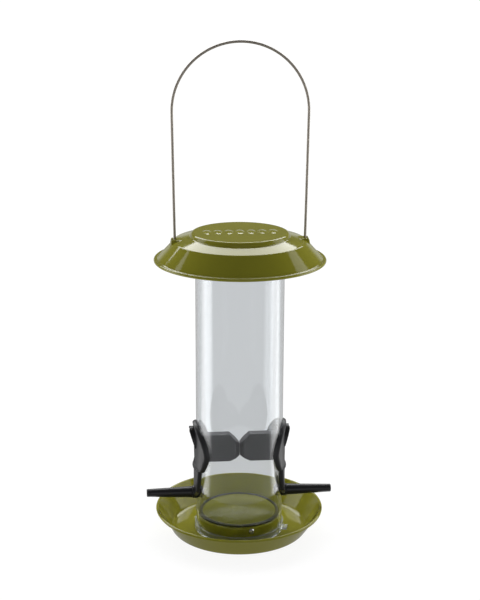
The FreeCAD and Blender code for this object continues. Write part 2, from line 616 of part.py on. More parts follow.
def nose_wedge(side):
    """Wedge that turns one flank's inner end inward, over the flank's whole sloped height."""
    edge = side * BAFFLE_BOTTOM_HALF_WIDTH
    outside = side * (BAFFLE_BOTTOM_HALF_WIDTH + BEYOND)
    corners = [
        Vector(0, edge - side * BAFFLE_NOSE, BAFFLE_BOTTOM_Z),
        Vector(BAFFLE_NOSE, edge, BAFFLE_BOTTOM_Z),
        Vector(BAFFLE_NOSE, outside, BAFFLE_BOTTOM_Z),
        Vector(0, outside, BAFFLE_BOTTOM_Z),
        Vector(0, edge - side * BAFFLE_NOSE, BAFFLE_BOTTOM_Z),
    ]
    lean = side * (BAFFLE_TOP_HALF_WIDTH - BAFFLE_BOTTOM_HALF_WIDTH)
    return Part.Face(Part.makePolygon(corners)).extrude(Vector(0, lean, BAFFLE_TOP_Z - BAFFLE_BOTTOM_Z))


def end_notch(at_top):
    """Wedge that slopes the baffle's inner end, so that two baffles meet in a V."""
    start_z = BAFFLE_TOP_Z if at_top else BAFFLE_BOTTOM_Z
    depth = -BAFFLE_TOP_NOTCH if at_top else BAFFLE_BOTTOM_NOTCH
    away = math.copysign(BEYOND, -depth)
    width = BAFFLE_BOTTOM_HALF_WIDTH + BEYOND
    corners = [
        Vector(0, -width, start_z + depth),
        Vector(BAFFLE_NOTCH_LENGTH, -width, start_z),
        Vector(BAFFLE_NOTCH_LENGTH, -width, start_z + away),
        Vector(0, -width, start_z + away),
        Vector(0, -width, start_z + depth),
    ]
    return Part.Face(Part.makePolygon(corners)).extrude(Vector(0, 2 * width, 0))


def make_perch():
    """Tapered peg with a rounded end and a shank that passes through the tube's wall."""
    inner_end = TUBE_BORE_R - PERCH_SHANK_INSIDE
    shank = cylinder_x(PERCH_SHANK_R, inner_end, PERCH_ROOT_X, PERCH_Z)
    length = PERCH_TIP_X - PERCH_ROOT_X
    peg = Part.makeCone(PERCH_ROOT_R, PERCH_TIP_R, length, Vector(PERCH_ROOT_X, 0, PERCH_Z), X_AXIS)
    tip_edges = [edge for edge in peg.Edges if edge.BoundBox.XMin > PERCH_TIP_X - PERCH_END_R]
    peg = peg.makeFillet(PERCH_END_R, tip_edges)
    return peg.fuse(shank).removeSplitter()


def make_perch_clip():
    """Push-on washer inside the tube that holds the perch's shank."""
    outer_x = math.sqrt(TUBE_BORE_R ** 2 - CLIP_R ** 2) - FIT_GAP
    clip = cylinder_x(CLIP_R, outer_x - CLIP_THICKNESS, outer_x, PERCH_Z)
    width = CLIP_R - CLIP_NOTCH
    band = Part.makeBox(TUBE_OUTER_R, 2 * width, 2 * CLIP_R, Vector(0, -width, PERCH_Z - CLIP_R))
    bore = cylinder_x(PERCH_SHANK_R + FIT_GAP / 2, 0, TUBE_OUTER_R, PERCH_Z)
    return clip.common(band).cut(bore)


# ---------------------------------------------------------------- assembly
def make_pieces():
    """All pieces by node name."""
    pieces = {
        "tube": make_tube(),
        "lid": make_lid(),
        "handle": make_handle(),
        "tray": make_tray(),
        "base_dome": make_base_dome(),
        "dome_seal": make_dome_seal(),
        "foot_ring": make_foot_ring(),
        "hub_screws": make_hub_screws(),
    }
    port_pieces = {
        "port_shell": make_port_shell(),
        "port_baffle": make_port_baffle(),
        "perch": make_perch(),
        "perch_clip": make_perch_clip(),
    }
    for side, degrees in (("right", 0), ("left", 180)):
        for name, shape in port_pieces.items():
            pieces[f"{name}_{side}"] = turned(shape, degrees)
    return pieces


def main():
    """Write one STEP file per piece."""
    os.makedirs("parts", exist_ok=True)
    for name, shape in make_pieces().items():
        shape.exportStep(f"parts/{name}.step")


main()
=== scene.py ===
"""Looks of a hanging tube seed feeder, built round its fixed CAD frame.

Shapes are worked out in millimetres as numpy surfaces and scaled to metres when they become meshes.
"""

import json
import logging
import math
from dataclasses import dataclass, field
from enum import Enum

import bmesh
import bpy
import numpy as np
import numpy.typing as npt
from mathutils import Matrix, Vector


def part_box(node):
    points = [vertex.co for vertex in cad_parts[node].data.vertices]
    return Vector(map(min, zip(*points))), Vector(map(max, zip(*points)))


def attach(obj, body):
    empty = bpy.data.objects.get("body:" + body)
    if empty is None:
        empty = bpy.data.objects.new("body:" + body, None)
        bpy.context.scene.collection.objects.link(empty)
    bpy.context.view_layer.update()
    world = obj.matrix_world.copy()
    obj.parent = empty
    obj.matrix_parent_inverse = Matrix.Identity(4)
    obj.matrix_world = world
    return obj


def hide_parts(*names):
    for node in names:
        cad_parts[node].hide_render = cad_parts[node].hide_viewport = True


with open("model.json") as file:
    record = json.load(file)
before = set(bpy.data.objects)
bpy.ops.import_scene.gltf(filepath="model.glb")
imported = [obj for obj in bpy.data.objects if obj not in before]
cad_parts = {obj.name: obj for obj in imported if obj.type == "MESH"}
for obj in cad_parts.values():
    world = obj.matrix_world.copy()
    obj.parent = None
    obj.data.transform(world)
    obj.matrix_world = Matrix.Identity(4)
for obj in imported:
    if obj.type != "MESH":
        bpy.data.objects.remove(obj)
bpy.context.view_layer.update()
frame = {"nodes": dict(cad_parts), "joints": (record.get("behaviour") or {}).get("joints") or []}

Array = npt.NDArray[np.float64]
Quads = npt.NDArray[np.int64]
Shell = tuple[Array, Quads]
Triple = tuple[float, float, float]
Rgb = Triple
Rgba = tuple[float, float, float, float]
Node = bpy.types.Node
Piece = bpy.types.Object
Material = bpy.types.Material
NodeTree = bpy.types.NodeTree
Socket = bpy.types.NodeSocket
Inputs = dict[str | int, object]
Span = tuple[float, float]
WHITE: Rgba = (1.0, 1.0, 1.0, 1.0)
MM = 0.001
MERGE_M = 2e-6
DEGENERATE_M = 1e-6
log = logging.getLogger("feeder")


class Body(Enum):
    """Rigid bodies of the frame that a piece can ride on."""

    FEEDER = "feeder"
    BAIL = "bail"
    COVER = "cover"


class Slot(Enum):
    """Material slots of the record."""

    ENAMEL = "green_enamel"
    WIRE = "steel_wire"
    BLACK = "black_plastic"
    RUBBER = "seal_rubber"
    SCREW = "screw_steel"


class Side(Enum):
    """The two ports, with the sign that turns a shape built on +X to its own side."""

    RIGHT = 1
    LEFT = -1

    @property
    def label(self) -> str:
        """Node suffix of this side."""
        return self.name.lower()


# ------------------------------------------------------------------ surfaces
def cad_box(node: str) -> tuple[Array, Array]:
    """Box of a CAD node in millimetres.

    Args:
        node: name of the node.
    Returns:
        Its lowest and highest corner.
    """
    low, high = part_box(node)
    return np.array(low) / MM, np.array(high) / MM


def joint(name: str) -> dict[str, object]:
    """Entry of a joint in the frame."""
    return next(entry for entry in frame["joints"] if entry["name"] == name)


def smooth_step(value: Array) -> Array:
    """Cubic step: 0 below 0, 1 above 1, and 3t^2 - 2t^3 between."""
    t = np.clip(value, 0.0, 1.0)
    return t * t * (3.0 - 2.0 * t)


def unit(vectors: Array) -> Array:
    """Vectors divided by their lengths along the last axis."""
    return vectors / np.linalg.norm(vectors, axis=-1, keepdims=True)


def rounded_profile(corners: Array, radii: Array, steps: int = 7) -> Array:
    """Polyline through corners, with a circular arc at each inner corner.

    The arc of radius R at a corner that turns by 2h starts R tan(h) before the corner, and its
    points are the start turned about the centre by even shares of 2h.

    Args:
        corners: (n, 2) points of radius and height.
        radii: (n - 2,) bend radii.
        steps: points on each arc.
    Returns:
        (m, 2) points of the rounded profile.
    """
    before = unit(corners[1:-1] - corners[:-2])
    after = unit(corners[2:] - corners[1:-1])
    turn = np.sign(before[:, 0] * after[:, 1] - before[:, 1] * after[:, 0])
    half = np.arccos(np.clip((before * after).sum(1), -1.0, 1.0)) / 2
    entry = corners[1:-1] - before * (radii * np.tan(half))[:, None]
    inward = np.stack([-before[:, 1], before[:, 0]], 1) * turn[:, None]
    centre = entry + inward * radii[:, None]
    angle = (turn * 2 * half)[:, None] * np.linspace(0, 1, steps)[None, :]
    spoke = (entry - centre)[:, None, :]
    cos, sin = np.cos(angle), np.sin(angle)
    across, along = spoke[..., 0], spoke[..., 1]
    turned = np.stack([across * cos - along * sin, across * sin + along * cos], -1)
    arcs = (centre[:, None, :] + turned).reshape(-1, 2)
    return np.concatenate([corners[:1], arcs, corners[-1:]])


def curl(centre: Array, radius: float, start: float, sweep: float, steps: int = 18) -> Array:
    """Rolled edge: points centre + radius (cos a, sin a) while a runs from start over sweep.

    Args:
        centre: radius and height of the roll's centre.
        radius: radius of the sheet's middle surface.
        start: first angle in radians.
        sweep: signed angle covered.
        steps: number of points.
    Returns:
        (steps, 2) points.
    """
    angle = np.linspace(start, start + sweep, steps)
    return np.asarray(centre) + radius * np.stack([np.cos(angle), np.sin(angle)], 1)


def run_length(path: Array) -> Array:
    """Length along a polyline at each of its points."""
    return np.concatenate([[0.0], np.cumsum(np.linalg.norm(np.diff(path, axis=0), axis=1))])


def points_at(path: Array, length: Array, places: Array) -> Array:
    """Points of a polyline at the wanted lengths along it."""
    return np.stack([np.interp(places, length, column) for column in path.T], 1)


def resample(profile: Array, step: float, knots: Array | None = None) -> Array:
    """Profile with points added so that none are further apart than step.

    Args:
        profile: (n, 2) polyline.
        step: largest spacing.
        knots: radii at which a point is wanted too, on the stretch where the radius grows.
    Returns:
        (m, 2) polyline that holds all of the given points.
    """
    length = run_length(profile)
    wanted = [length, np.linspace(0, length[-1], int(length[-1] / step) + 1)]
    if knots is not None:
        widest = int(np.argmax(profile[:, 0]))
        wanted.append(np.interp(knots, profile[: widest + 1, 0], length[: widest + 1]))
    places = np.unique(np.round(np.concatenate(wanted), 5))
    return points_at(profile, length, places)


def turned_surface(profile: Array, angles: Array) -> Array:
    """Surface of revolution about Z: (r cos a, r sin a, z) for each profile point and angle.

    Args:
        profile: (n, 2) radius and height.
        angles: (m,) angles.
    Returns:
        (n, m, 3) grid.
    """
    radius, height = profile[:, :1], profile[:, 1:]
    return np.stack([radius * np.cos(angles), radius * np.sin(angles), height + 0 * angles], -1)


def round_angles(count: int) -> Array:
    """Even angles round a full turn, without the repeated last one."""
    return np.linspace(0, 2 * math.pi, count, endpoint=False)


def grid_quads(rows: int, columns: int, wrap: bool) -> Quads:
    """Quads of a grid whose vertex (i, j) has index i * columns + j.

    Args:
        rows: rows of vertices.
        columns: columns of vertices.
        wrap: whether the last column joins the first.
    Returns:
        (k, 4) vertex indices.
    """
    spans = columns if wrap else columns - 1
    i, j = np.meshgrid(np.arange(rows - 1), np.arange(spans), indexing="ij")
    right = (j + 1) % columns
    quads = [i * columns + j, (i + 1) * columns + j, (i + 1) * columns + right, i * columns + right]
    return np.stack(quads, -1).reshape(-1, 4)


def thick_shell(outer: Array, inner: Array, quads: Quads) -> Shell:
    """Closed shell from two matching surfaces.

    Every side of a quad that has no neighbour is a border, and gets a wall between the surfaces.

    Args:
        outer: (n, 3) outer points.
        inner: (n, 3) matching inner points.
        quads: faces of the outer surface.
    Returns:
        Vertices and quads of the closed shell.
    """
    count = len(outer)
    sides = np.stack([quads, np.roll(quads, -1, axis=1)], -1).reshape(-1, 2)
    code = sides[:, 0] * count + sides[:, 1]
    border = sides[~np.isin(code, sides[:, 1] * count + sides[:, 0])]
    walls = np.stack([border[:, 1], border[:, 0], border[:, 0] + count, border[:, 1] + count], 1)
    faces = np.concatenate([quads, quads[:, ::-1] + count, walls])
    return np.concatenate([outer, inner]), faces


def swept_tube(path: Array, radii: Array, plane_normal: Array, sides: int = 24) -> Array:
    """Round tube along a flat path: path + r (cos a N + sin a B).

    B is the plane's normal and N the path's own normal, B x T.

    Args:
        path: (n, 3) centreline.
        radii: (n,) radius along it.
        plane_normal: unit normal of the path's plane.
        sides: points round the tube.
    Returns:
        (n, sides, 3) grid.
    """
    tangent = unit(np.gradient(path, axis=0))
    normal = unit(np.cross(plane_normal, tangent))
    angle = round_angles(sides)[None, :, None]
    ring = np.cos(angle) * normal[:, None, :] + np.sin(angle) * plane_normal
    return path[:, None, :] + radii[:, None, None] * ring


def rounded_ends(path: Array, radius: float, steps: int = 7) -> tuple[Array, Array]:
    """Extra points at both ends of a path, and radii that make each end a half ball.

    At distance d from an end the radius is sqrt(R^2 - (R - d)^2), up to the full radius R.

    Args:
        path: (n, 3) centreline.
        radius: the tube's radius.
        steps: points that shape each end.
    Returns:
        The longer path and its radii.
    """
    length = run_length(path)
    near = radius * (1 - np.cos(np.linspace(0, math.pi / 2, steps)))
    places = np.unique(np.concatenate([near, length, length[-1] - near]))
    depth = np.minimum(np.minimum(places, length[-1] - places), radius)
    radii = np.sqrt(np.maximum(radius ** 2 - (radius - depth) ** 2, 0.0))
    return points_at(path, length, places), radii


def circle_through(a: Array, b: Array, c: Array) -> tuple[Array, float]:
    """Circle through three points, from the two equations that its centre is equally far from each.

    Args:
        a: first point.
        b: second point.
        c: third point.
    Returns:
        Centre and radius.
    """
    matrix = 2 * np.stack([b - a, c - a])
    centre = np.linalg.solve(matrix, np.array([b @ b - a @ a, c @ c - a @ a]))
    return centre, float(np.linalg.norm(a - centre))


# ------------------------------------------------------------------ meshes
def new_piece(name: str, vertices: Array, quads: Quads, turn_out: bool = True) -> Piece:
    """Object from vertices in millimetres and quads, with doubles merged and faces outward.

    Args:
        name: name of the piece.
        vertices: (n, 3) points.
        quads: (k, 4) faces.
        turn_out: whether faces are turned to point outward.
    Returns:
        The linked object, at the origin.
    """
    mesh = bpy.data.meshes.new(name)
    mesh.from_pydata((np.asarray(vertices).reshape(-1, 3) * MM).tolist(), [], quads.tolist())
    work = bmesh.new()
    work.from_mesh(mesh)
    bmesh.ops.remove_doubles(work, verts=work.verts, dist=MERGE_M)
    bmesh.ops.dissolve_degenerate(work, edges=work.edges, dist=DEGENERATE_M)
    if turn_out:
        bmesh.ops.recalc_face_normals(work, faces=work.faces)
    work.to_mesh(mesh)
    work.free()
    piece = bpy.data.objects.new(name, mesh)
    bpy.context.scene.collection.objects.link(piece)
    return piece


def turned_piece(name: str, profile: Array, columns: int) -> Piece:
    """Piece from a profile that is turned about Z in even steps.

    Args:
        name: name of the piece.
        profile: (n, 2) radius and height.
        columns: steps round the turn.
    Returns:
        The linked object.
    """
    grid = turned_surface(profile, round_angles(columns))
    return new_piece(name, grid, grid_quads(len(profile), columns, wrap=True))


def settle(piece: Piece, crease_deg: float = 38.0) -> Piece:
    """Apply a piece's modifiers, and shade it smooth except across sharp edges.

    Args:
        piece: the object.
        crease_deg: angle from which an edge stays sharp.
    Returns:
        The same object.
    """
    if piece.modifiers:
        bpy.context.view_layer.update()
        shown = piece.evaluated_get(bpy.context.evaluated_depsgraph_get())
        baked = bpy.data.meshes.new_from_object(shown)
        piece.modifiers.clear()
        piece.data = baked
    piece.data.shade_smooth()
    piece.data.set_sharp_from_angle(angle=math.radians(crease_deg))
    return piece


def thicken(piece: Piece, thickness: float, offset: float = 0.0) -> None:
    """Give a sheet its wall.

    Args:
        piece: open surface.
        thickness: wall in millimetres.
        offset: 0 for both sides alike, -1 for inward.
    """
    wall = piece.modifiers.new("wall", "SOLIDIFY")
    wall.thickness = thickness * MM
    wall.offset = offset
    wall.use_even_offset = True


def soften(
    piece: Piece, width: float, segments: int = 3, sharp_deg: float = 40.0
) -> None:
    """Round the sharp edges.

    Args:
        piece: closed solid.
        width: width of the rounding in millimetres.
        segments: faces across it.
        sharp_deg: angle from which an edge is rounded.
    """
    bevel = piece.modifiers.new("soft edges", "BEVEL")
    bevel.width = width * MM
    bevel.segments = segments
    bevel.limit_method = "ANGLE"
    bevel.angle_limit = math.radians(sharp_deg)


def place(piece: Piece, body: Body, slot: Slot, *nodes: str) -> None:
    """Hand a finished piece to the frame.

    Args:
        piece: finished object.
        body: body it rides on.
        slot: record slot of its finish; not used.
        nodes: CAD nodes that it stands for.
    """
    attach(piece, body.value)
    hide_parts(*nodes)
    log.info("%s: %d faces, stands for %s", piece.name, len(piece.data.polygons), ", ".join(nodes))


# ------------------------------------------------------------------ finishes
class Nodes:
    """Short way to lay out a shader node tree."""

    def __init__(self, tree: NodeTree) -> None:
        """Start on an empty tree."""
        self.tree = tree
        tree.nodes.clear()

    def add(self, kind: str, inputs: Inputs | None = None, **settings: object) -> Node:
        """Add a node.

        Args:
            kind: Blender's name of the node type.
            inputs: a constant, or a socket to link from, for inputs that don't keep their default.
            settings: its own properties.
        Returns:
            The node.
        """
        node = self.tree.nodes.new(kind)
        for name, value in settings.items():
            setattr(node, name, value)
        for key, value in (inputs or {}).items():
            if isinstance(value, Socket):
                self.tree.links.new(value, node.inputs[key])
            else:
                node.inputs[key].default_value = value
        return node

    def math(self, operation: str, *values: object, clamp: bool = False) -> Socket:
        """Result of a Math node.

        Args:
            operation: Blender's name of the operation.
            values: constants or sockets, in the order of the node's inputs.
            clamp: whether the result is held between 0 and 1.
        Returns:
            The result's socket.
        """
        inputs = dict(enumerate(values))
        return self.add("ShaderNodeMath", inputs, operation=operation, use_clamp=clamp).outputs[0]

    def ramp(self, value: Socket, given: Span, wanted: Span = (0.0, 1.0)) -> Socket:
        """Value carried from one range to another, and held at both ends.

        Args:
            value: what is mapped.
            given: ends of its own range.
            wanted: what they become.
        Returns:
            The result's socket.
        """
        labels = ("Value", "From Min", "From Max", "To Min", "To Max")
        inputs = dict(zip(labels, (value, *given, *wanted)))
        return self.add("ShaderNodeMapRange", inputs).outputs[0]

    def noise(self, where: Socket, scale: object, **inputs: float) -> Socket:
        """Noise at a place.

        Args:
            where: coordinates.
            scale: constant or socket.
            inputs: the node's other inputs.
        Returns:
            The noise value's socket.
        """
        given = {"Vector": where, "Scale": scale, **inputs}
        return self.add("ShaderNodeTexNoise", given).outputs["Fac"]

    def mix_colours(self, share: Socket, first: Socket, second: Socket) -> Socket:
        """Colour between two, by a share."""
        inputs = {0: share, 6: first, 7: second}
        return self.add("ShaderNodeMix", inputs, data_type="RGBA").outputs[2]

    def mix_shaders(self, share: object, first: Node, second: Node) -> Node:
        """Shader between two, by a share."""
        inputs = {0: share, 1: first.outputs[0], 2: second.outputs[0]}
        return self.add("ShaderNodeMixShader", inputs)

    def bump(self, height: Socket, depth_mm: float) -> Socket:
        """Normal of a fine relief, whose full height is given in millimetres."""
        inputs = {"Strength": 1.0, "Distance": depth_mm * MM, "Height": height}
        return self.add("ShaderNodeBump", inputs).outputs[0]

    def place(self) -> Socket:
        """Coordinates on the object itself."""
        return self.add("ShaderNodeTexCoord").outputs["Object"]

    def light(self, kind: str, strength: object, colour: Rgba = WHITE) -> Node:
        """Emission or Background of one colour."""
        return self.add(kind, {"Color": colour, "Strength": strength})

    def finish(self, shader: Node, kind: str = "ShaderNodeOutputMaterial") -> None:
        """Link the last shader to the tree's output."""
        self.add(kind, {"Surface": shader.outputs[0]})


def new_material(name: str) -> tuple[Material, Nodes]:
    """Material with an empty node tree.

    Args:
        name: name of the material.
    Returns:
        The material and its layout helper.
    """
    made = bpy.data.materials.new(name)
    made.use_nodes = True
    return made, Nodes(made.node_tree)


def new_group(
    name: str, inputs: dict[str, object], outputs: dict[str, str]
) -> tuple[Nodes, Node]:
    """Node group with its sockets and nothing between them yet.

    Args:
        name: name of the group.
        inputs: socket name to default value; its length tells number, vector or colour.
        outputs: socket name to socket type.
    Returns:
        The group's layout helper and its input node.
    """
    tree = bpy.data.node_groups.new(name, "ShaderNodeTree")
    kinds = {1: "NodeSocketFloat", 3: "NodeSocketVector", 4: "NodeSocketColor"}
    add_socket = tree.interface.new_socket
    for label, value in inputs.items():
        kind = kinds[np.size(value)]
        add_socket(name=label, in_out="INPUT", socket_type=kind).default_value = value
    for label, kind in outputs.items():
        add_socket(name=label, in_out="OUTPUT", socket_type=kind)
    sketch = Nodes(tree)
    return sketch, sketch.add("NodeGroupInput")


def fine_grain_group() -> NodeTree:
    """Fine surface texture: two scales of noise, as a height and as a roughness.

    Returns:
        The group.
    """
    inputs = {
        "Scale": 1500.0,
        "Roughness": 0.4,
        "Roughness Spread": 0.1,
        "Stretch": (1.0, 1.0, 1.0),
    }
    outputs = {"Height": "NodeSocketFloat", "Roughness": "NodeSocketFloat"}
    broad_share = 0.06
    sketch, source = new_group("fine_grain", inputs, outputs)
    given = source.outputs
    scaled = {0: sketch.place(), 1: given["Stretch"]}
    stretch = sketch.add("ShaderNodeVectorMath", scaled, operation="MULTIPLY")
    where = stretch.outputs[0]
    fine = sketch.noise(where, given["Scale"], Detail=3.0)
    broad = sketch.noise(where, sketch.math("MULTIPLY", given["Scale"], broad_share), Detail=2.0)
    centred = sketch.math("SUBTRACT", broad, 0.5)
    rough, spread = given["Roughness"], given["Roughness Spread"]
    sketch.add("NodeGroupOutput", {
        "Height": sketch.math("ADD", fine, broad),
        "Roughness": sketch.math("MULTIPLY_ADD", centred, spread, rough),
    })
    return sketch.tree


def weathering_group() -> NodeTree:
    """Uneven colour, edges rubbed paler in patches, and dust settled on faces that look up.

    Returns:
        The group.
    """
    inputs = {
        "Colour": (0.5, 0.5, 0.5, 1.0),
        "Second Colour": (0.5, 0.5, 0.5, 1.0),
        "Patch Scale": 40.0,
        "Edge Colour": (0.5, 0.5, 0.5, 1.0),
        "Edge Wear": 0.3,
        "Dust Colour": (0.5, 0.46, 0.4, 1.0),
        "Dust": 0.05,
    }
    outputs = {"Colour": "NodeSocketColor", "Dull Mask": "NodeSocketFloat"}
    convex, upward, speck_scale = (0.51, 0.58), (0.55, 1.0), 900.0
    sketch, source = new_group("weathering", inputs, outputs)
    given, where = source.outputs, sketch.place()
    patches = sketch.noise(where, given["Patch Scale"], Detail=4.0, Roughness=0.6)
    tint = sketch.mix_colours(patches, given["Colour"], given["Second Colour"])
    surface = sketch.add("ShaderNodeNewGeometry").outputs
    rubbed = sketch.math("MULTIPLY", sketch.ramp(surface["Pointiness"], convex), patches)
    worn = sketch.math("MULTIPLY", rubbed, given["Edge Wear"], clamp=True)
    edged = sketch.mix_colours(worn, tint, given["Edge Colour"])
    facing = sketch.add("ShaderNodeSeparateXYZ", {0: surface["Normal"]}).outputs["Z"]
    specks = sketch.noise(where, speck_scale, Detail=2.0)
    settled = sketch.math("MULTIPLY", sketch.ramp(facing, upward), specks)
    dust = sketch.math("MULTIPLY", settled, given["Dust"], clamp=True)
    sketch.add("NodeGroupOutput", {
        "Colour": sketch.mix_colours(dust, edged, given["Dust Colour"]),
        "Dull Mask": sketch.math("ADD", dust, worn, clamp=True),
    })
    return sketch.tree


@dataclass(frozen=True)
class Finish:
    """A surface with its own colours, gloss and fine texture.

    Colours are linear. grain_depth is the height of the fine texture in millimetres, and dulling is
    the roughness that full wear or dust adds.
    """

    name: str
    colour: Rgb
    second_colour: Rgb
    roughness: float
    roughness_spread: float = 0.08
    dulling: float = 0.3
    patch_scale: float = 35.0
    grain_scale: float = 1500.0
    grain_depth: float = 0.004
    grain_stretch: Triple = (1.0, 1.0, 1.0)
    dust: float = 0.06
    edge_colour: Rgb = (0.5, 0.5, 0.5)
    edge_wear: float = 0.5
    metallic: float = 0.0
    coat: float = 0.0
    coat_roughness: float = 0.04
    coat_ior: float = 1.5
    specular: float = 0.5

    def material(self, grain: NodeTree, weathering: NodeTree) -> Material:
        """Build the material.

        Args:
            grain: fine grain group.
            weathering: colour group.
        Returns:
            The material.
        """
        made, sketch = new_material(self.name)
        colour = sketch.add("ShaderNodeGroup", {
            "Colour": (*self.colour, 1.0),
            "Second Colour": (*self.second_colour, 1.0),
            "Patch Scale": self.patch_scale,
            "Dust": self.dust,
            "Edge Colour": (*self.edge_colour, 1.0),
            "Edge Wear": self.edge_wear,
        }, node_tree=weathering)
        texture = sketch.add("ShaderNodeGroup", {
            "Scale": self.grain_scale,
            "Roughness": self.roughness,
            "Roughness Spread": self.roughness_spread,
            "Stretch": self.grain_stretch,
        }, node_tree=grain)
        mask, rough = colour.outputs["Dull Mask"], texture.outputs["Roughness"]
        sketch.finish(sketch.add("ShaderNodeBsdfPrincipled", {
            "Metallic": self.metallic,
            "Specular IOR Level": self.specular,
            "Coat Weight": self.coat,
            "Coat Roughness": self.coat_roughness,
            "Coat IOR": self.coat_ior,
            "Base Color": colour.outputs["Colour"],
            "Roughness": sketch.math("MULTIPLY_ADD", mask, self.dulling, rough),
            "Normal": sketch.bump(texture.outputs["Height"], self.grain_depth),
        }))
        return made


@dataclass(frozen=True)
class ClearPlastic:
    """Clear extruded plastic with faint drawing lines along its length."""

    name: str = "clear_tube_plastic"
    colour: Rgb = (0.94, 0.96, 0.975)
    shadow_colour: Rgb = (0.80, 0.81, 0.82)
    cloud_colour: Rgb = (0.85, 0.9, 0.93)
    ior: float = 1.49
    roughness: float = 0.02
    line_depth: float = 0.003
    line_scale: Triple = (420.0, 420.0, 3.0)
    milkiness: float = 0.0

    def material(self) -> Material:
        """Build the material, which lets shadow rays pass as a thin clear wall lets light.

        Returns:
            The material.
        """
        made, sketch = new_material(self.name)
        drawn = {"Scale": self.line_scale, "Vector": sketch.place()}
        stretch = sketch.add("ShaderNodeMapping", drawn)
        lines = sketch.noise(stretch.outputs[0], 1.0, Detail=2.0)
        clear = sketch.add("ShaderNodeBsdfPrincipled", {
            "Base Color": (*self.colour, 1.0),
            "Roughness": self.roughness,
            "IOR": self.ior,
            "Transmission Weight": 1.0,
            "Normal": sketch.bump(lines, self.line_depth),
        })
        cloud = sketch.add("ShaderNodeBsdfDiffuse", {"Color": (*self.cloud_colour, 1.0)})
        body = sketch.mix_shaders(self.milkiness, clear, cloud)
        see_through = sketch.add("ShaderNodeBsdfTransparent", {"Color": (*self.shadow_colour, 1.0)})
        rays = sketch.add("ShaderNodeLightPath").outputs
        sketch.finish(sketch.mix_shaders(rays["Is Shadow Ray"], body, see_through))
        return made


class Palette:
    """Every finish of the feeder, made once."""

    def __init__(self) -> None:
        """Build the shared groups and the materials."""
        shared = fine_grain_group(), weathering_group()
        self.enamel = Finish(
            "olive_enamel", (0.262, 0.250, 0.019), (0.226, 0.216, 0.017), 0.45,
            grain_scale=420.0, grain_depth=0.003, dust=0.01, specular=0.0, coat=1.0,
            coat_roughness=0.08, coat_ior=1.32, edge_colour=(0.36, 0.35, 0.10), edge_wear=0.6,
        ).material(*shared)
        # Dome enamel: the duller, thinner coat stands for seed scratches, and the darker base
        # colour is painted shade for the dome deep inside the tube.
        self.scuffed_shaded_enamel = Finish(
            "scuffed_shaded_olive_enamel", (0.150, 0.147, 0.022), (0.110, 0.108, 0.018), 0.45,
            grain_scale=900.0, grain_depth=0.004, dust=0.03, specular=0.0, coat=0.3,
            coat_roughness=0.20, coat_ior=1.4, edge_colour=(0.26, 0.25, 0.08), edge_wear=0.6,
        ).material(*shared)
        self.wire = Finish(
            "drawn_steel_wire", (0.33, 0.30, 0.26), (0.22, 0.195, 0.165), 0.42, metallic=1.0,
            grain_scale=900.0, grain_depth=0.0002, grain_stretch=(1.0, 1.0, 0.05),
            patch_scale=25.0, dust=0.0, edge_colour=(0.40, 0.37, 0.33), edge_wear=0.15,
        ).material(*shared)
        self.black = Finish(
            "moulded_black_plastic", (0.011, 0.011, 0.013), (0.017, 0.017, 0.019), 0.34,
            grain_scale=3000.0, grain_depth=0.006, dust=0.02, specular=0.30,
            edge_colour=(0.045, 0.045, 0.048), edge_wear=0.7,
        ).material(*shared)
        self.rubber = Finish(
            "seal_rubber_black", (0.006, 0.007, 0.006), (0.010, 0.011, 0.009), 0.55,
            grain_scale=2500.0, dust=0.01, specular=0.15, edge_colour=(0.02, 0.02, 0.02),
        ).material(*shared)
        self.screw = Finish(
            "plated_screw_steel", (0.62, 0.62, 0.60), (0.50, 0.50, 0.49), 0.2, metallic=1.0,
            grain_scale=4000.0, grain_depth=0.002, dust=0.0, edge_colour=(0.75, 0.75, 0.73),
        ).material(*shared)
        self.clear = ClearPlastic().material()
        frosted = ClearPlastic("frosted_ring_plastic", roughness=0.10, milkiness=0.10)
        self.frosted = frosted.material()


def finish_node(node: str, material: Material) -> None:
    """Give a CAD node that stays in view its material.

    Args:
        node: name of the node.
        material: its finish.
    """
    shown = frame["nodes"][node]
    shown.data.materials.clear()
    shown.data.materials.append(material)
    log.info("%s: CAD shape kept, finish %s", node, material.name)


# ------------------------------------------------------------------ pressed steel
@dataclass
class PressedSheet:
    """Sizes shared by the enamelled sheet pieces, in millimetres."""

    sheet: float = 0.8
    bead: float = 1.2

    @property
    def roll(self) -> float:
        """Radius of the sheet's middle surface in a rolled rim."""
        return self.bead - self.sheet / 2

    def finish(self, piece: Piece, material: Material) -> Piece:
        """Give a surface its wall and its enamel.

        Args:
            piece: open surface.
            material: its finish.
        Returns:
            The finished piece.
        """
        thicken(piece, self.sheet)
        settle(piece)
        piece.data.materials.append(material)
        return piece


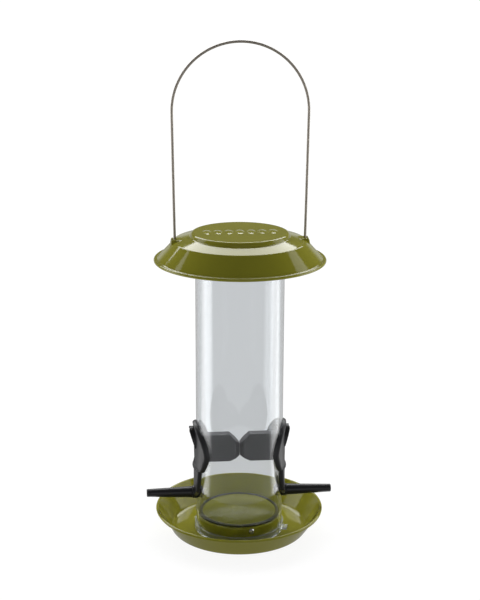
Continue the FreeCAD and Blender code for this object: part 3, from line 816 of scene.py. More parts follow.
@dataclass
class Lid(PressedSheet):
    """Lid with a raised disc, a sloping ring, a skirt, a rolled rim and two slotted pads."""

    disc_r: float = 38.2
    disc_drop: float = 3.4
    ring_width: float = 13.2
    shoulder_drop: float = 3.1
    skirt_drop: float = 14.6
    lip: float = 1.6
    bend_radii: tuple[float, ...] = (2.0, 1.5, 1.5, 1.5)
    roll_turn: float = -1.55 * math.pi
    spacing: float = 0.85
    slot_columns: int = 5
    pad_columns: int = 19
    far_columns: int = 108
    pad_fall: float = 1.5
    pad_reach: float = 8.4
    pad_overhang: float = 3.0
    pad_width: float = 12.0
    pad_edge: float = 1.1
    pad_root_gap: float = 1.5
    slot_half_width: float = 1.7
    slot_gap: float = 0.5
    seed_count: int = 7
    seed_length: float = 14.0
    seed_width: float = 5.6
    seed_pitch: float = 8.6
    seed_height: float = 0.6
    seed_margin: float = 2.0

    def __post_init__(self) -> None:
        """Take the outer sizes from the frame."""
        low, high = cad_box("lid")
        self.rim_r = float(high[1])
        self.top_z = float(high[2]) - self.seed_height
        self.ring_z = self.top_z - self.disc_drop
        self.shoulder_r = self.disc_r + self.ring_width
        self.shoulder_z = self.ring_z - self.shoulder_drop
        self.lip_z = self.shoulder_z - self.skirt_drop

    def profile(self) -> Array:
        """Middle surface of the sheet from the centre of the disc to the end of the roll.

        Returns:
            (n, 2) radius and height.
        """
        half = self.sheet / 2
        centre = np.array([self.rim_r - self.bead, self.lip_z - half])
        corners = np.array([
            [0.0, self.top_z - half],
            [self.disc_r - half, self.top_z - half],
            [self.disc_r + half, self.ring_z],
            [self.shoulder_r, self.shoulder_z - half],
            [centre[0] - self.lip, self.lip_z],
            [centre[0], centre[1] + self.roll],
        ])
        sheet = rounded_profile(corners, np.array(self.bend_radii))
        roll = curl(centre, self.roll, math.pi / 2, self.roll_turn)[1:]
        return np.concatenate([sheet, roll])

    def slot_ends(self) -> tuple[float, float]:
        """Distances from the axis to the ends of a wire slot, from the leg's lean and travel.

        Returns:
            Inner and outer distance.
        """
        leg = Handle()
        travel = joint("lid_lift")["range_m"][1] / MM
        pad_z = self.ring_z - self.pad_fall
        first = leg.leg_x(pad_z) - leg.radius - self.slot_gap
        last = leg.leg_x(pad_z + travel) + leg.radius + self.slot_gap
        return first, last

    def columns(self) -> Array:
        """Angles of the grid: even ones, finer ones at the pads, and one on each slot edge.

        Returns:
            (m,) angles in radians.
        """
        edge = math.asin(self.slot_half_width / self.shoulder_r)
        pad = math.asin((self.pad_width / 2 + self.pad_edge) / (self.shoulder_r - self.pad_reach))
        beside = np.linspace(edge, pad, self.pad_columns)
        far = np.linspace(pad, math.pi - pad, self.far_columns)[1:-1]
        slot = np.linspace(-edge, edge, self.slot_columns)
        half_turn = np.concatenate([slot, beside, -beside, far])
        angles = np.concatenate([half_turn, half_turn + math.pi]) % (2 * math.pi)
        return np.unique(np.round(angles, 6))

    def pad_rise(self, x: Array, y: Array, z: Array) -> Array:
        """How far the pads lift the sheet: up to their flat top, fading over a short edge.

        Args:
            x: distances along X.
            y: distances along Y.
            z: heights.
        Returns:
            Heights to add.
        """
        level = self.ring_z - self.pad_fall - self.sheet / 2
        outer = self.shoulder_r + self.pad_overhang - self.sheet / 2
        across = smooth_step((self.pad_width / 2 - np.abs(y)) / self.pad_edge)
        along = smooth_step((outer - np.abs(x)) / self.pad_edge)
        past_disc = np.abs(x) > self.disc_r + self.pad_root_gap
        return across * (along * past_disc) * np.maximum(level - z, 0.0)

    def seed_rise(self, x: Array, y: Array) -> Array:
        """Row of plain seed shapes: each is an oval with pointed ends and a rounded crown.

        Args:
            x: distances along X.
            y: distances along Y.
        Returns:
            Heights to add.
        """
        places = (np.arange(self.seed_count) - (self.seed_count - 1) / 2) * self.seed_pitch
        taper = np.maximum(1 - (2 * y / self.seed_length) ** 2, 1e-6)
        across = (x[..., None] - places) / (self.seed_width / 2 * np.sqrt(taper)[..., None])
        crown = np.clip(1 - across ** 2, 0, 1).max(-1) * (np.abs(y) < self.seed_length / 2)
        return self.seed_height * np.sqrt(np.clip(crown * taper, 0.0, 1.0))

    def build(self, palette: Palette) -> None:
        """Make the lid and hand it to the frame.

        Args:
            palette: the finishes.
        """
        slot_start, slot_end = self.slot_ends()
        profile = resample(self.profile(), self.spacing, np.array([slot_start, slot_end]))
        angles = self.columns()
        grid = turned_surface(profile, angles)
        x, y, z = grid[..., 0], grid[..., 1], grid[..., 2]
        on_skirt = np.arange(len(profile)) < int(np.argmax(profile[:, 0]))
        z += self.pad_rise(x, y, z) * on_skirt[:, None]
        z += self.seed_rise(x, y) * (profile[:, :1] < self.disc_r - self.seed_margin)
        quads = grid_quads(len(profile), len(angles), wrap=True)
        middle = grid.reshape(-1, 3)[quads].mean(1)
        reach = np.hypot(middle[:, 0], middle[:, 1])
        along = (reach > slot_start) & (reach < slot_end)
        in_slot = along & (np.abs(middle[:, 1]) < self.slot_half_width)
        piece = new_piece("lid_pressing", grid, quads[~in_slot])
        place(self.finish(piece, palette.enamel), Body.COVER, Slot.ENAMEL, "lid")


@dataclass
class Tray(PressedSheet):
    """Dish with a rolled rim and a raised hub inside the tube."""

    floor_r: float = 54.0
    hub_r: float = 32.9
    hub_height: float = 14.0
    ledge: float = 5.0
    corner_r: float = 5.0
    ledge_r: float = 1.5
    foot_r: float = 0.5
    roll_turn: float = -1.6 * math.pi
    spacing: float = 1.4
    column_count: int = 256

    def build(self, palette: Palette) -> None:
        """Make the dish: hub ledge, hub wall, floor, wall and outward roll.

        Args:
            palette: the finishes.
        """
        low, high = cad_box("tray")
        half = self.sheet / 2
        centre = np.array([high[1] - self.bead, high[2] - self.bead])
        corner = np.array([self.floor_r, half])
        slope = math.atan2(centre[1] - corner[1], centre[0] - corner[0])
        top = centre + self.roll * np.array([-math.sin(slope), math.cos(slope)])
        corners = np.array([
            [self.hub_r - self.ledge, self.hub_height - half],
            [self.hub_r - half, self.hub_height - half],
            [self.hub_r - half, half],
            corner,
            top,
        ])
        sheet = rounded_profile(corners, np.array([self.ledge_r, self.foot_r, self.corner_r]))
        roll = curl(centre, self.roll, math.pi / 2 + slope, self.roll_turn)[1:]
        profile = resample(np.concatenate([sheet, roll]), self.spacing)
        piece = turned_piece("tray_pressing", profile, self.column_count)
        place(self.finish(piece, palette.enamel), Body.FEEDER, Slot.ENAMEL, "tray")


@dataclass
class BaseDome(PressedSheet):
    """Shallow dome inside the tube's foot, with the rubber ring round its edge."""

    rise: float = 5.0
    flat: float = 1.5
    cap_rows: int = 30
    column_count: int = 160
    seal_lip_r: float = 0.4
    seal_edge_r: float = 0.15
    groove_r: float = 0.05
    seal_grip: float = 1.0

    def build(self, palette: Palette) -> None:
        """Make the dome: a spherical cap that ends in a narrow flat edge.

        Args:
            palette: the finishes.
        """
        low, high = cad_box("base_dome")
        edge_r = float(high[1])
        cap_r = edge_r - self.flat
        middle_z = float(low[2]) + self.sheet / 2
        ball = (cap_r ** 2 + self.rise ** 2) / (2 * self.rise)
        angle = np.linspace(0, math.asin(cap_r / ball), self.cap_rows)
        cap = np.stack([ball * np.sin(angle), middle_z + self.rise - ball * (1 - np.cos(angle))], 1)
        profile = np.concatenate([cap, [[edge_r, middle_z]]])
        piece = turned_piece("dome_pressing", profile, self.column_count)
        # The dome's darker enamel colour is painted shade; its dull coat stands for scratches.
        place(self.finish(piece, palette.scuffed_shaded_enamel), Body.FEEDER, Slot.ENAMEL, "base_dome")
        self.build_seal(palette, edge_r)

    def build_seal(self, palette: Palette, dome_r: float) -> None:
        """Make the ring: a closed section with rounded lips and a groove for the dome's edge.

        Args:
            palette: the finishes.
            dome_r: radius of the dome's edge.
        """
        low, high = cad_box("dome_seal")
        outer, base, top = float(high[1]), float(low[2]), float(high[2])
        inner = dome_r - self.seal_grip
        groove = (top - base - self.sheet) / 2
        lip = self.seal_lip_r
        corners = np.array([
            [(inner + outer) / 2, base],
            [outer, base],
            [outer, top],
            [inner, top],
            [inner, top - groove],
            [dome_r, top - groove],
            [dome_r, base + groove],
            [inner, base + groove],
            [inner, base],
            [(inner + outer) / 2, base],
        ])
        radii = np.array([lip, lip, self.seal_edge_r, *[self.groove_r] * 4, self.seal_edge_r])
        profile = rounded_profile(corners, radii, steps=4)
        piece = settle(turned_piece("dome_seal_ring", profile, self.column_count))
        piece.data.materials.append(palette.rubber)
        place(piece, Body.FEEDER, Slot.RUBBER, "dome_seal")


# ------------------------------------------------------------------ wire bail
@dataclass
class Handle:
    """Wire bail: hooked ends, legs that lean outward, and a round arch."""

    radius: float = 1.0
    flare_deg: float = 0.8
    bend_r: float = 3.5
    hook_bend_r: float = 1.6
    hook_x: float = 30.4
    hook_rise: float = 6.0
    leg_spacing: float = 4.0
    bend_steps: int = 10
    arch_steps: int = 90
    crease_deg: float = 60

    def __post_init__(self) -> None:
        """Work out the arch from the frame: its widest place and its top."""
        low, high = cad_box("handle")
        self.arch_r = float(high[0]) - self.radius
        self.arch_z = float(high[2]) - self.radius - self.arch_r
        self.hinge_z = joint("handle_swing")["pos_m"][2] / MM

    def leg_x(self, z: float) -> float:
        """Distance from the axis to a leg's centreline at height z.

        Args:
            z: height.
        Returns:
            The distance.
        """
        flare = math.radians(self.flare_deg)
        top_z = self.arch_z - self.arch_r * math.sin(flare)
        return self.arch_r * math.cos(flare) - (top_z - z) * math.tan(flare)

    def path(self) -> Array:
        """Centreline from the left hook over the arch to the right hook.

        Returns:
            (n, 3) points.
        """
        flare = math.radians(self.flare_deg)
        top = [self.arch_r * math.cos(flare), self.arch_z - self.arch_r * math.sin(flare)]
        corners = np.array([
            [self.hook_x, self.hinge_z + self.hook_rise],
            [self.hook_x, self.hinge_z],
            [self.leg_x(self.hinge_z), self.hinge_z],
            top,
        ])
        bends = np.array([self.hook_bend_r, self.bend_r])
        right = resample(rounded_profile(corners, bends, self.bend_steps), self.leg_spacing)
        middle, sweep = np.array([0.0, self.arch_z]), math.pi + 2 * flare
        arch = curl(middle, self.arch_r, -flare, sweep, self.arch_steps)[1:-1]
        left = (right * np.array([-1.0, 1.0]))[::-1]
        flat = np.concatenate([right, arch, left])
        return np.stack([flat[:, 0], 0 * flat[:, 0], flat[:, 1]], 1)

    def build(self, palette: Palette) -> None:
        """Sweep the wire and hand it to the frame.

        Args:
            palette: the finishes.
        """
        path, radii = rounded_ends(self.path(), self.radius)
        grid = swept_tube(path, radii, np.array([0.0, 1.0, 0.0]))
        piece = new_piece("bail_wire", grid, grid_quads(len(path), grid.shape[1], wrap=True))
        settle(piece, self.crease_deg)
        piece.data.materials.append(palette.wire)
        place(piece, Body.BAIL, Slot.WIRE, "handle")


# ------------------------------------------------------------------ ports
@dataclass
class Opening:
    """Feed opening: wider at its foot than at its top."""

    bottom_z: float = 58.6
    top_z: float = 81.0
    bottom_half: float = 8.0
    top_half: float = 5.0

    def half_width(self, z: Array) -> Array:
        """Half width at height z, held beyond both ends of the opening."""
        return np.interp(z, [self.bottom_z, self.top_z], [self.bottom_half, self.top_half])


@dataclass
class Port:
    """One feed port: leaf-shaped saddle, hood, sill, perch, inner plate and baffle.

    Lengths are in millimetres. Names that end in rows, columns, steps or sides count mesh points.
    """

    side: Side
    opening: Opening = field(default_factory=Opening)
    saddle_inner_r: float = 35.1
    saddle_wall: float = 2.0
    leaf_half: float = 24.4
    widest_z: float = 70.0
    cheek_inset: float = 2.0
    hip_z: float = 55.8
    hip_half: float = 19.0
    leg_top_z: float = 55.2
    leg_top_half: float = 16.4
    foot_z: float = 36.0
    foot_half: float = 12.9
    rim_width: float = 2.2
    rim_height: float = 0.7
    hood_half: float = 10.5
    hood_wall: float = 1.6
    hood_top_z: float = 88.4
    hood_foot_z: float = 73.0
    hood_reach: float = 4.0
    hood_round: float = 1.9
    sill_r: float = 1.0
    sill_z: float = 55.0
    boss_r: float = 5.4
    boss_height: float = 1.2
    perch_root_r: float = 4.7
    perch_tip_r: float = 3.3
    shank_r: float = 3.0
    baffle_wall: float = 1.5
    baffle_top_half: float = 3.8
    baffle_bottom_half: float = 9.5
    baffle_rise: float = 1.0
    baffle_lift: float = 2.9
    notch_length: float = 8.2
    notch_top: float = 8.2
    notch_bottom: float = 3.4
    nose: float = 3.5
    brow_width_share: float = 0.74
    brow_height_share: float = 0.64
    head_rows: int = 40
    body_rows: int = 70
    row_gap: float = 0.3
    middle_columns: int = 11
    middle_share: float = 0.6
    edge_columns: int = 15
    edge_crowding: float = 1.7
    rim_blend: float = 0.8
    edge_fall: float = 1.3
    edge_reach: float = 1.1
    hood_columns: int = 61
    hood_rows: int = 6
    hood_bite: float = 0.5
    hood_least: float = 0.2
    hood_edge: float = 0.6
    sill_steps: int = 40
    sill_sides: int = 16
    boss_sink: float = 0.2
    boss_draft: float = 0.3
    boss_radii: tuple[float, ...] = (0.1, 0.5, 0.2)
    perch_play: float = 0.1
    perch_radii: tuple[float, ...] = (0.5, 0.1, 0.5, 0.1, 0.05, 0.1, 0.8)
    perch_spacing: float = 2.5
    perch_sides: int = 56
    perch_flat: float = 0.93
    perch_crease_deg: float = 30
    groove_from_tip: float = 2.7
    groove_size: float = 0.25
    ridge_edge: float = 0.35
    stretch_steps: int = 8
    flank_rows: int = 12
    roof_rows: int = 7
    way_in_edge: float = 0.4
    plate_rows: int = 40
    plate_corner_r: float = 2.0
    crease_deg: float = 44

    def __post_init__(self) -> None:
        """Take heights and lengths from the frame."""
        shell_low, shell_high = cad_box("port_shell_right")
        self.tip_z, self.top_z = float(shell_low[2]), float(shell_high[2])
        perch_low, perch_high = cad_box("perch_right")
        self.perch_z = float(perch_low[2] + perch_high[2]) / 2
        self.perch_inner_x, self.perch_tip_x = float(perch_low[0]), float(perch_high[0])
        baffle_low, baffle_high = cad_box("port_baffle_right")
        self.plate_low_z, self.plate_high_z = float(baffle_low[2]), float(baffle_high[2])
        self.plate_half = float(baffle_high[1])
        self.meeting_x, self.plate_r = float(baffle_low[0]), float(baffle_high[0])
        self.saddle_outer_r = self.saddle_inner_r + self.saddle_wall
        self.ridge_low_z = self.opening.bottom_z + self.baffle_lift
        self.ridge_high_z = self.opening.top_z + self.baffle_rise

    def turned(self, points: Array) -> Array:
        """Points built on +X, moved to this side by a half turn where needed."""
        return points * np.array([self.side.value, self.side.value, 1.0])

    # -------------------------------------------------------------- saddle
    def leaf_half_width(self, z: Array) -> Array:
        """Half width of the leaf: arcs for the head and the cheek, then two straight tapers.

        Args:
            z: heights.
        Returns:
            Half widths.
        """
        widest = (self.leaf_half, self.widest_z)
        brow_z = self.widest_z + (self.top_z - self.widest_z) * self.brow_height_share
        brow = (self.leaf_half * self.brow_width_share, brow_z)
        head = self.arc_width(z, (0.0, self.top_z), brow, widest)
        jaw = (self.leaf_half - self.cheek_inset, (self.widest_z + self.hip_z) / 2)
        cheek = self.arc_width(z, widest, jaw, (self.hip_half, self.hip_z))
        leg_z = [self.tip_z, self.foot_z, self.leg_top_z, self.hip_z]
        leg = np.interp(z, leg_z, [0.0, self.foot_half, self.leg_top_half, self.hip_half])
        return np.where(z >= self.widest_z, head, np.where(z >= self.hip_z, cheek, leg))

    @staticmethod
    def arc_width(z: Array, a: Span, b: Span, c: Span) -> Array:
        """Half width y0 + sqrt(R^2 - dz^2) on the circle through three points.

        Args:
            z: heights.
            a: first (half width, height) point.
            b: second point.
            c: third point.
        Returns:
            Half widths.
        """
        centre, radius = circle_through(np.array(a), np.array(b), np.array(c))
        reach = np.sqrt(np.maximum(radius ** 2 - (z - centre[1]) ** 2, 0.0))
        return np.maximum(centre[0] + reach, 0.0)

    def saddle_rows(self) -> Array:
        """Heights of the rows: closer together where the leaf closes, and on both opening edges.

        Returns:
            Sorted heights.
        """
        rise = np.sin(np.linspace(0, math.pi / 2, self.head_rows))
        head = self.widest_z + (self.top_z - self.widest_z) * rise
        body = np.linspace(self.tip_z, self.widest_z, self.body_rows)
        opening = self.opening
        edges = np.array([opening.bottom_z, opening.top_z, self.foot_z, self.leg_top_z, self.hip_z])
        rows = np.unique(np.round(np.concatenate([body, head, edges]), 4))
        near_edge = np.abs(rows[:, None] - edges[None, :])
        crowded = (near_edge > 0).all(1) & (near_edge < self.row_gap).any(1)
        return rows[~crowded]

    def split_columns(self, half: Array, opening_half: Array) -> Array:
        """Offsets across the plate: even inside the opening's width, closer at the edge.

        Args:
            half: half width at each row.
            opening_half: the opening's half width at each row.
        Returns:
            (n, m) offsets.
        """
        inner = np.minimum(opening_half, self.middle_share * half)[:, None]
        share = np.linspace(0, 1, self.edge_columns)[None, 1:]
        outer = inner + (half[:, None] - inner) * (1 - (1 - share) ** self.edge_crowding)
        middle = inner * np.linspace(-1, 1, self.middle_columns)[None, :]
        return np.concatenate([-outer[:, ::-1], middle, outer], 1)

    def plate(
        self, rows: Array, half: Array, opening: Opening, inner_r: float, outer_r: Array
    ) -> Shell:
        """Curved plate on a cylinder, with the opening left out.

        A point at offset y and height z lies at x = sqrt(r^2 - y^2).

        Args:
            rows: heights.
            half: half width at each height.
            opening: what is left out.
            inner_r: radius of the inner face.
            outer_r: radius of the outer face, as a grid.
        Returns:
            Vertices and quads of a closed shell.
        """
        y = self.split_columns(half, opening.half_width(rows))
        z = rows[:, None] + 0 * y
        outer = np.stack([np.sqrt(outer_r ** 2 - y ** 2), y, z], -1)
        inner = np.stack([np.sqrt(inner_r ** 2 - y ** 2), y, z], -1)
        quads = grid_quads(len(rows), y.shape[1], wrap=False)
        middle = outer.reshape(-1, 3)[quads].mean(1)
        high = (middle[:, 2] > opening.bottom_z) & (middle[:, 2] < opening.top_z)
        gone = high & (np.abs(middle[:, 1]) < opening.half_width(middle[:, 2]))
        return thick_shell(outer.reshape(-1, 3), inner.reshape(-1, 3), quads[~gone])

    def saddle(self) -> Shell:
        """Leaf-shaped saddle with a raised, rounded edge.

        Returns:
            Vertices and quads.
        """
        rows = self.saddle_rows()
        half = self.leaf_half_width(rows)
        y = self.split_columns(half, self.opening.half_width(rows))
        slope = np.gradient(half, rows)[:, None]
        from_edge = (half[:, None] - np.abs(y)) / np.sqrt(1 + slope ** 2)
        on_rim = (self.rim_width + self.rim_blend / 2 - from_edge) / self.rim_blend
        raised = self.rim_height * smooth_step(on_rim)
        rounded = self.edge_fall * (1 - np.clip(from_edge / self.edge_reach, 0, 1)) ** 2
        outer_r = self.saddle_outer_r + raised - rounded
        return self.plate(rows, half, self.opening, self.saddle_inner_r, outer_r)

    def hood_reach_x(self, z: Array) -> Array:
        """Distance from the axis to the hood's front: it leans out evenly, rounded at the roof.

        Args:
            z: heights.
        Returns:
            Distances along X.
        """
        foot = self.saddle_outer_r - self.rim_height
        roof = self.saddle_outer_r + self.hood_reach
        reach = np.interp(z, [self.hood_foot_z, self.hood_top_z], [foot, roof])
        near_top = np.clip((z - self.hood_top_z + self.hood_round) / self.hood_round, 0.0, 1.0)
        return reach - self.hood_round * (1 - np.sqrt(1 - near_top ** 2))

    def hood(self) -> Piece:
        """Roof: half ellipse y = -a cos t, z = z0 + b sin t, carried out from the saddle.

        Returns:
            The settled piece.
        """
        turn = np.linspace(0, math.pi, self.hood_columns)[:, None]
        y = -self.hood_half * np.cos(turn)
        z = self.hood_foot_z + (self.hood_top_z - self.hood_foot_z) * np.sin(turn)
        root = np.sqrt((self.saddle_inner_r + self.hood_bite) ** 2 - y ** 2)
        share = np.linspace(0, 1, self.hood_rows)[None, :]
        x = root + (np.maximum(self.hood_reach_x(z), root + self.hood_least) - root) * share
        grid = np.stack([x, y + 0 * share, z + 0 * share], -1)
        return self.walled("hood", grid, self.hood_wall, self.hood_edge)

    def walled(self, name: str, grid: Array, wall: float, edge: float) -> Piece:
        """Open grid on this side as a piece with an inward wall and soft edges.

        Args:
            name: name of the piece.
            grid: (n, m, 3) points on +X.
            wall: thickness in millimetres.
            edge: width of the softened edges.
        Returns:
            The settled piece.
        """
        quads = grid_quads(grid.shape[0], grid.shape[1], wrap=False)
        piece = new_piece(name, self.turned(grid), quads, turn_out=False)
        thicken(piece, wall, -1.0 if self.faces_out(piece) else 1.0)
        soften(piece, edge)
        return settle(piece)

    @staticmethod
    def faces_out(piece: Piece) -> bool:
        """Whether the roof's faces point up."""
        top = max(piece.data.polygons, key=lambda face: face.center.z)
        return top.normal.z > 0

    def sill(self) -> Shell:
        """Bead under the opening, bent round the saddle.

        Returns:
            Vertices and quads.
        """
        reach = math.asin((self.leg_top_half - self.rim_width) / self.saddle_outer_r)
        foot = np.array([[self.saddle_outer_r, self.sill_z]])
        bend = turned_surface(foot, np.linspace(-reach, reach, self.sill_steps))[0]
        path, radii = rounded_ends(bend, self.sill_r)
        grid = swept_tube(path, radii, np.array([0.0, 0.0, 1.0]), self.sill_sides)
        return grid.reshape(-1, 3), grid_quads(len(path), self.sill_sides, wrap=True)

    def turned_on_perch(self, profile: Array, sides: int = 48, flat: float = 1.0) -> Shell:
        """Shape turned about the perch's axis: (x, r cos a, z0 + r sin a), flattened on top.

        Args:
            profile: (n, 2) distance along X and radius.
            sides: points round the shape.
            flat: height of the upper half as a share of its radius.
        Returns:
            Vertices and quads.
        """
        angle = round_angles(sides)
        rise = np.where(np.sin(angle) > 0, flat, 1.0) * np.sin(angle)
        x, radius = profile[:, :1], profile[:, 1:]
        grid = np.stack([x + 0 * angle, radius * np.cos(angle), self.perch_z + radius * rise], -1)
        return grid.reshape(-1, 3), grid_quads(len(profile), sides, wrap=True)

    def boss(self) -> Shell:
        """Round boss that the perch stands in.

        Returns:
            Vertices and quads.
        """
        root, end = self.saddle_inner_r - self.boss_sink, self.saddle_outer_r + self.boss_height
        bore = self.shank_r + self.perch_play
        outline = [[root, self.boss_r], [end, self.boss_r - self.boss_draft], [end, bore]]
        corners = np.array([[root, bore], *outline, [root, bore]])
        return self.turned_on_perch(rounded_profile(corners, np.array(self.boss_radii), steps=5))

    def build_shell(self, palette: Palette) -> None:
        """Make saddle, sill, boss and hood as one piece.

        Args:
            palette: the finishes.
        """
        parts = [self.saddle(), self.sill(), self.boss()]
        pieces = [new_piece("part", self.turned(points), quads) for points, quads in parts]
        pieces = [settle(piece, self.crease_deg) for piece in pieces] + [self.hood()]
        shell = join_pieces(f"port_shell_body_{self.side.label}", pieces)
        shell.data.materials.clear()
        shell.data.materials.append(palette.black)
        place(shell, Body.FEEDER, Slot.BLACK, f"port_shell_{self.side.label}")

    # -------------------------------------------------------------- baffle
    def baffle_half_width(self, z: Array) -> Array:
        """Half width of the ridge at height z, on its two straight flanks."""
        heights = [self.ridge_low_z, self.ridge_high_z]
        return np.interp(z, heights, [self.baffle_bottom_half, self.baffle_top_half])

    def ridge(self) -> Piece:
        """Ridge: flanks and a narrow roof, its inner end sloped to meet its twin.

        Returns:
            The settled piece.
        """
        low, high = self.ridge_low_z, self.ridge_high_z
        root = self.plate_r - self.baffle_wall
        stops = [self.meeting_x, self.nose, self.notch_length, root]
        steps = self.stretch_steps
        stretches = [np.linspace(start, end, steps) for start, end in zip(stops, stops[1:])]
        x = np.concatenate([stretches[0], *(stretch[1:] for stretch in stretches[1:])])
        short = np.maximum(1 - x / self.notch_length, 0.0)
        top = (high - self.notch_top * short)[:, None]
        bottom = (low + self.notch_bottom * short)[:, None]
        flank = np.linspace(0, 1, self.flank_rows)[None, :]
        rising = bottom + (top - bottom) * flank
        across = np.linspace(-1, 1, self.roof_rows)[None, 1:-1]
        turned_in = self.nose * np.maximum(1 - x / self.nose, 0.0)[:, None]
        flank_y = np.maximum(self.baffle_half_width(rising) - turned_in, 0.0)
        roof_y = flank_y[:, -1:] * across
        y = np.concatenate([-flank_y, roof_y, flank_y[:, ::-1]], 1)
        z = np.concatenate([rising, top + 0 * across, rising[:, ::-1]], 1)
        grid = np.stack([x[:, None] + 0 * y, y, z], -1)
        end = np.concatenate([grid[:1] * np.array([1.0, share, 1.0]) for share in (0.0, 0.5)])
        return self.walled("ridge", np.concatenate([end, grid]), self.baffle_wall, self.ridge_edge)

    def build_baffle(self, palette: Palette) -> None:
        """Make the inner plate and the ridge as one piece.

        Args:
            palette: the finishes.
        """
        way_in = Opening(
            self.opening.bottom_z, self.ridge_high_z - self.baffle_wall,
            self.opening.bottom_half - self.way_in_edge,
            self.baffle_top_half - self.baffle_wall + self.way_in_edge,
        )
        even = np.linspace(self.plate_low_z, self.plate_high_z, self.plate_rows)
        rows = np.unique(np.concatenate([even, [way_in.bottom_z, way_in.top_z]]))
        to_end = np.minimum(rows - self.plate_low_z, self.plate_high_z - rows)
        in_corner = 1 - np.clip(to_end / self.plate_corner_r, 0, 1)
        half = self.plate_half - self.plate_corner_r * (1 - np.sqrt(1 - in_corner ** 2))
        outer_r = np.full((len(rows), 1), self.plate_r)
        points, quads = self.plate(rows, half, way_in, self.plate_r - self.baffle_wall, outer_r)
        plate = settle(new_piece("plate", self.turned(points), quads), self.crease_deg)
        whole = join_pieces(f"port_baffle_body_{self.side.label}", [plate, self.ridge()])
        whole.data.materials.clear()
        whole.data.materials.append(palette.black)
        place(whole, Body.FEEDER, Slot.BLACK, f"port_baffle_{self.side.label}")

    # -------------------------------------------------------------- perch
    def build_perch(self, palette: Palette) -> None:
        """Make the peg: shank, collar, slow taper, a fine groove near the tip and a rounded end.

        Args:
            palette: the finishes.
        """
        root_x = self.saddle_outer_r + self.boss_height + self.perch_play
        groove_x, groove = self.perch_tip_x - self.groove_from_tip, self.groove_size
        ends = [root_x, self.perch_tip_x], [self.perch_root_r, self.perch_tip_r]
        taper = np.poly1d(np.polyfit(*ends, 1))
        corners = np.array([
            [self.perch_inner_x, 0.0],
            [self.perch_inner_x, self.shank_r],
            [root_x, self.shank_r],
            [root_x, self.perch_root_r],
            [groove_x - groove, taper(groove_x)],
            [groove_x, taper(groove_x) - groove],
            [groove_x + groove, taper(groove_x)],
            [self.perch_tip_x, self.perch_tip_r],
            [self.perch_tip_x, 0.0],
        ])
        rounded = rounded_profile(corners, np.array(self.perch_radii), steps=6)
        profile = resample(rounded, self.perch_spacing)
        points, quads = self.turned_on_perch(profile, self.perch_sides, self.perch_flat)
        piece = new_piece(f"perch_peg_{self.side.label}", self.turned(points), quads)
        settle(piece, self.perch_crease_deg)
        piece.data.materials.append(palette.black)
        place(piece, Body.FEEDER, Slot.BLACK, f"perch_{self.side.label}")

    def build(self, palette: Palette) -> None:
        """Make everything on this side.

        Args:
            palette: the finishes.
        """
        self.build_shell(palette)
        self.build_baffle(palette)
        self.build_perch(palette)
        finish_node(f"perch_clip_{self.side.label}", palette.black)


def join_pieces(name: str, pieces: list[Piece]) -> Piece:
    """Join separate shells into one object.

    Args:
        name: name of the joined piece.
        pieces: objects whose meshes hold their place.
    Returns:
        The joined object.
    """
    work = bmesh.new()
    for piece in pieces:
        work.from_mesh(piece.data)
        bpy.data.objects.remove(piece)
    mesh = bpy.data.meshes.new(name)
    work.to_mesh(mesh)
    work.free()
    whole = bpy.data.objects.new(name, mesh)
    bpy.context.scene.collection.objects.link(whole)
    return whole


# ------------------------------------------------------------------ screws
@dataclass
class HubScrews:
    """Round-headed screws through the tube's foot, each with a cross recess."""

    count: int = 3
    first_deg: float = -78.0
    seat_r: float = 35.1
    shank_r: float = 1.3
    head_r: float = 2.2
    head_height: float = 1.6
    length: float = 6.0
    recess: float = 0.7
    recess_half: float = 0.32
    recess_blend: float = 0.2
    recess_ease: float = 0.15
    recess_reach: float = 1.35
    recess_end: float = 0.25
    head_seat: float = 0.05
    head_rows: int = 22
    sides: int = 64

    def screw(self, angle: float, height: float) -> Shell:
        """One screw, turned to its place round the tube.

        The head is a cap of a ball, and the recess is cut where either cross axis is near.

        Args:
            angle: direction from the tube's axis.
            height: height of the screw's axis.
        Returns:
            Vertices and quads.
        """
        ball = (self.head_r ** 2 + self.head_height ** 2) / (2 * self.head_height)
        head_reach = np.linspace(self.head_r, 0, self.head_rows)
        head_x = self.seat_r + self.head_height - ball + np.sqrt(ball ** 2 - head_reach ** 2)
        end, seat = self.seat_r - self.length, self.seat_r
        shank = [[end, 0.0], [end, self.shank_r], [seat, self.shank_r]]
        under_head = [seat, self.head_r - self.head_seat]
        head = np.stack([head_x, head_reach], 1)
        profile = np.concatenate([np.array([*shank, under_head]), head])
        around = round_angles(self.sides)
        x = profile[:, :1] + 0 * around
        side, up = profile[:, 1:] * np.cos(around), profile[:, 1:] * np.sin(around)
        nearest = np.minimum(np.abs(side), np.abs(up))
        across = smooth_step((self.recess_half + self.recess_ease - nearest) / self.recess_blend)
        along = smooth_step((self.recess_reach - profile[:, 1:]) / self.recess_end)
        x = x - self.recess * (across * along) * (x > self.seat_r + self.recess_blend)
        cos, sin = math.cos(angle), math.sin(angle)
        grid = np.stack([x * cos - side * sin, x * sin + side * cos, height + up], -1)
        return grid.reshape(-1, 3), grid_quads(len(profile), self.sides, wrap=True)

    def build(self, palette: Palette) -> None:
        """Make the screws as one piece of separate solids.

        Args:
            palette: the finishes.
        """
        low, high = cad_box("hub_screws")
        height = float(low[2] + high[2]) / 2
        angles = math.radians(self.first_deg) + round_angles(self.count)
        made = [settle(new_piece("screw", *self.screw(float(angle), height))) for angle in angles]
        whole = join_pieces("hub_screw_set", made)
        whole.data.materials.append(palette.screw)
        place(whole, Body.FEEDER, Slot.SCREW, "hub_screws")


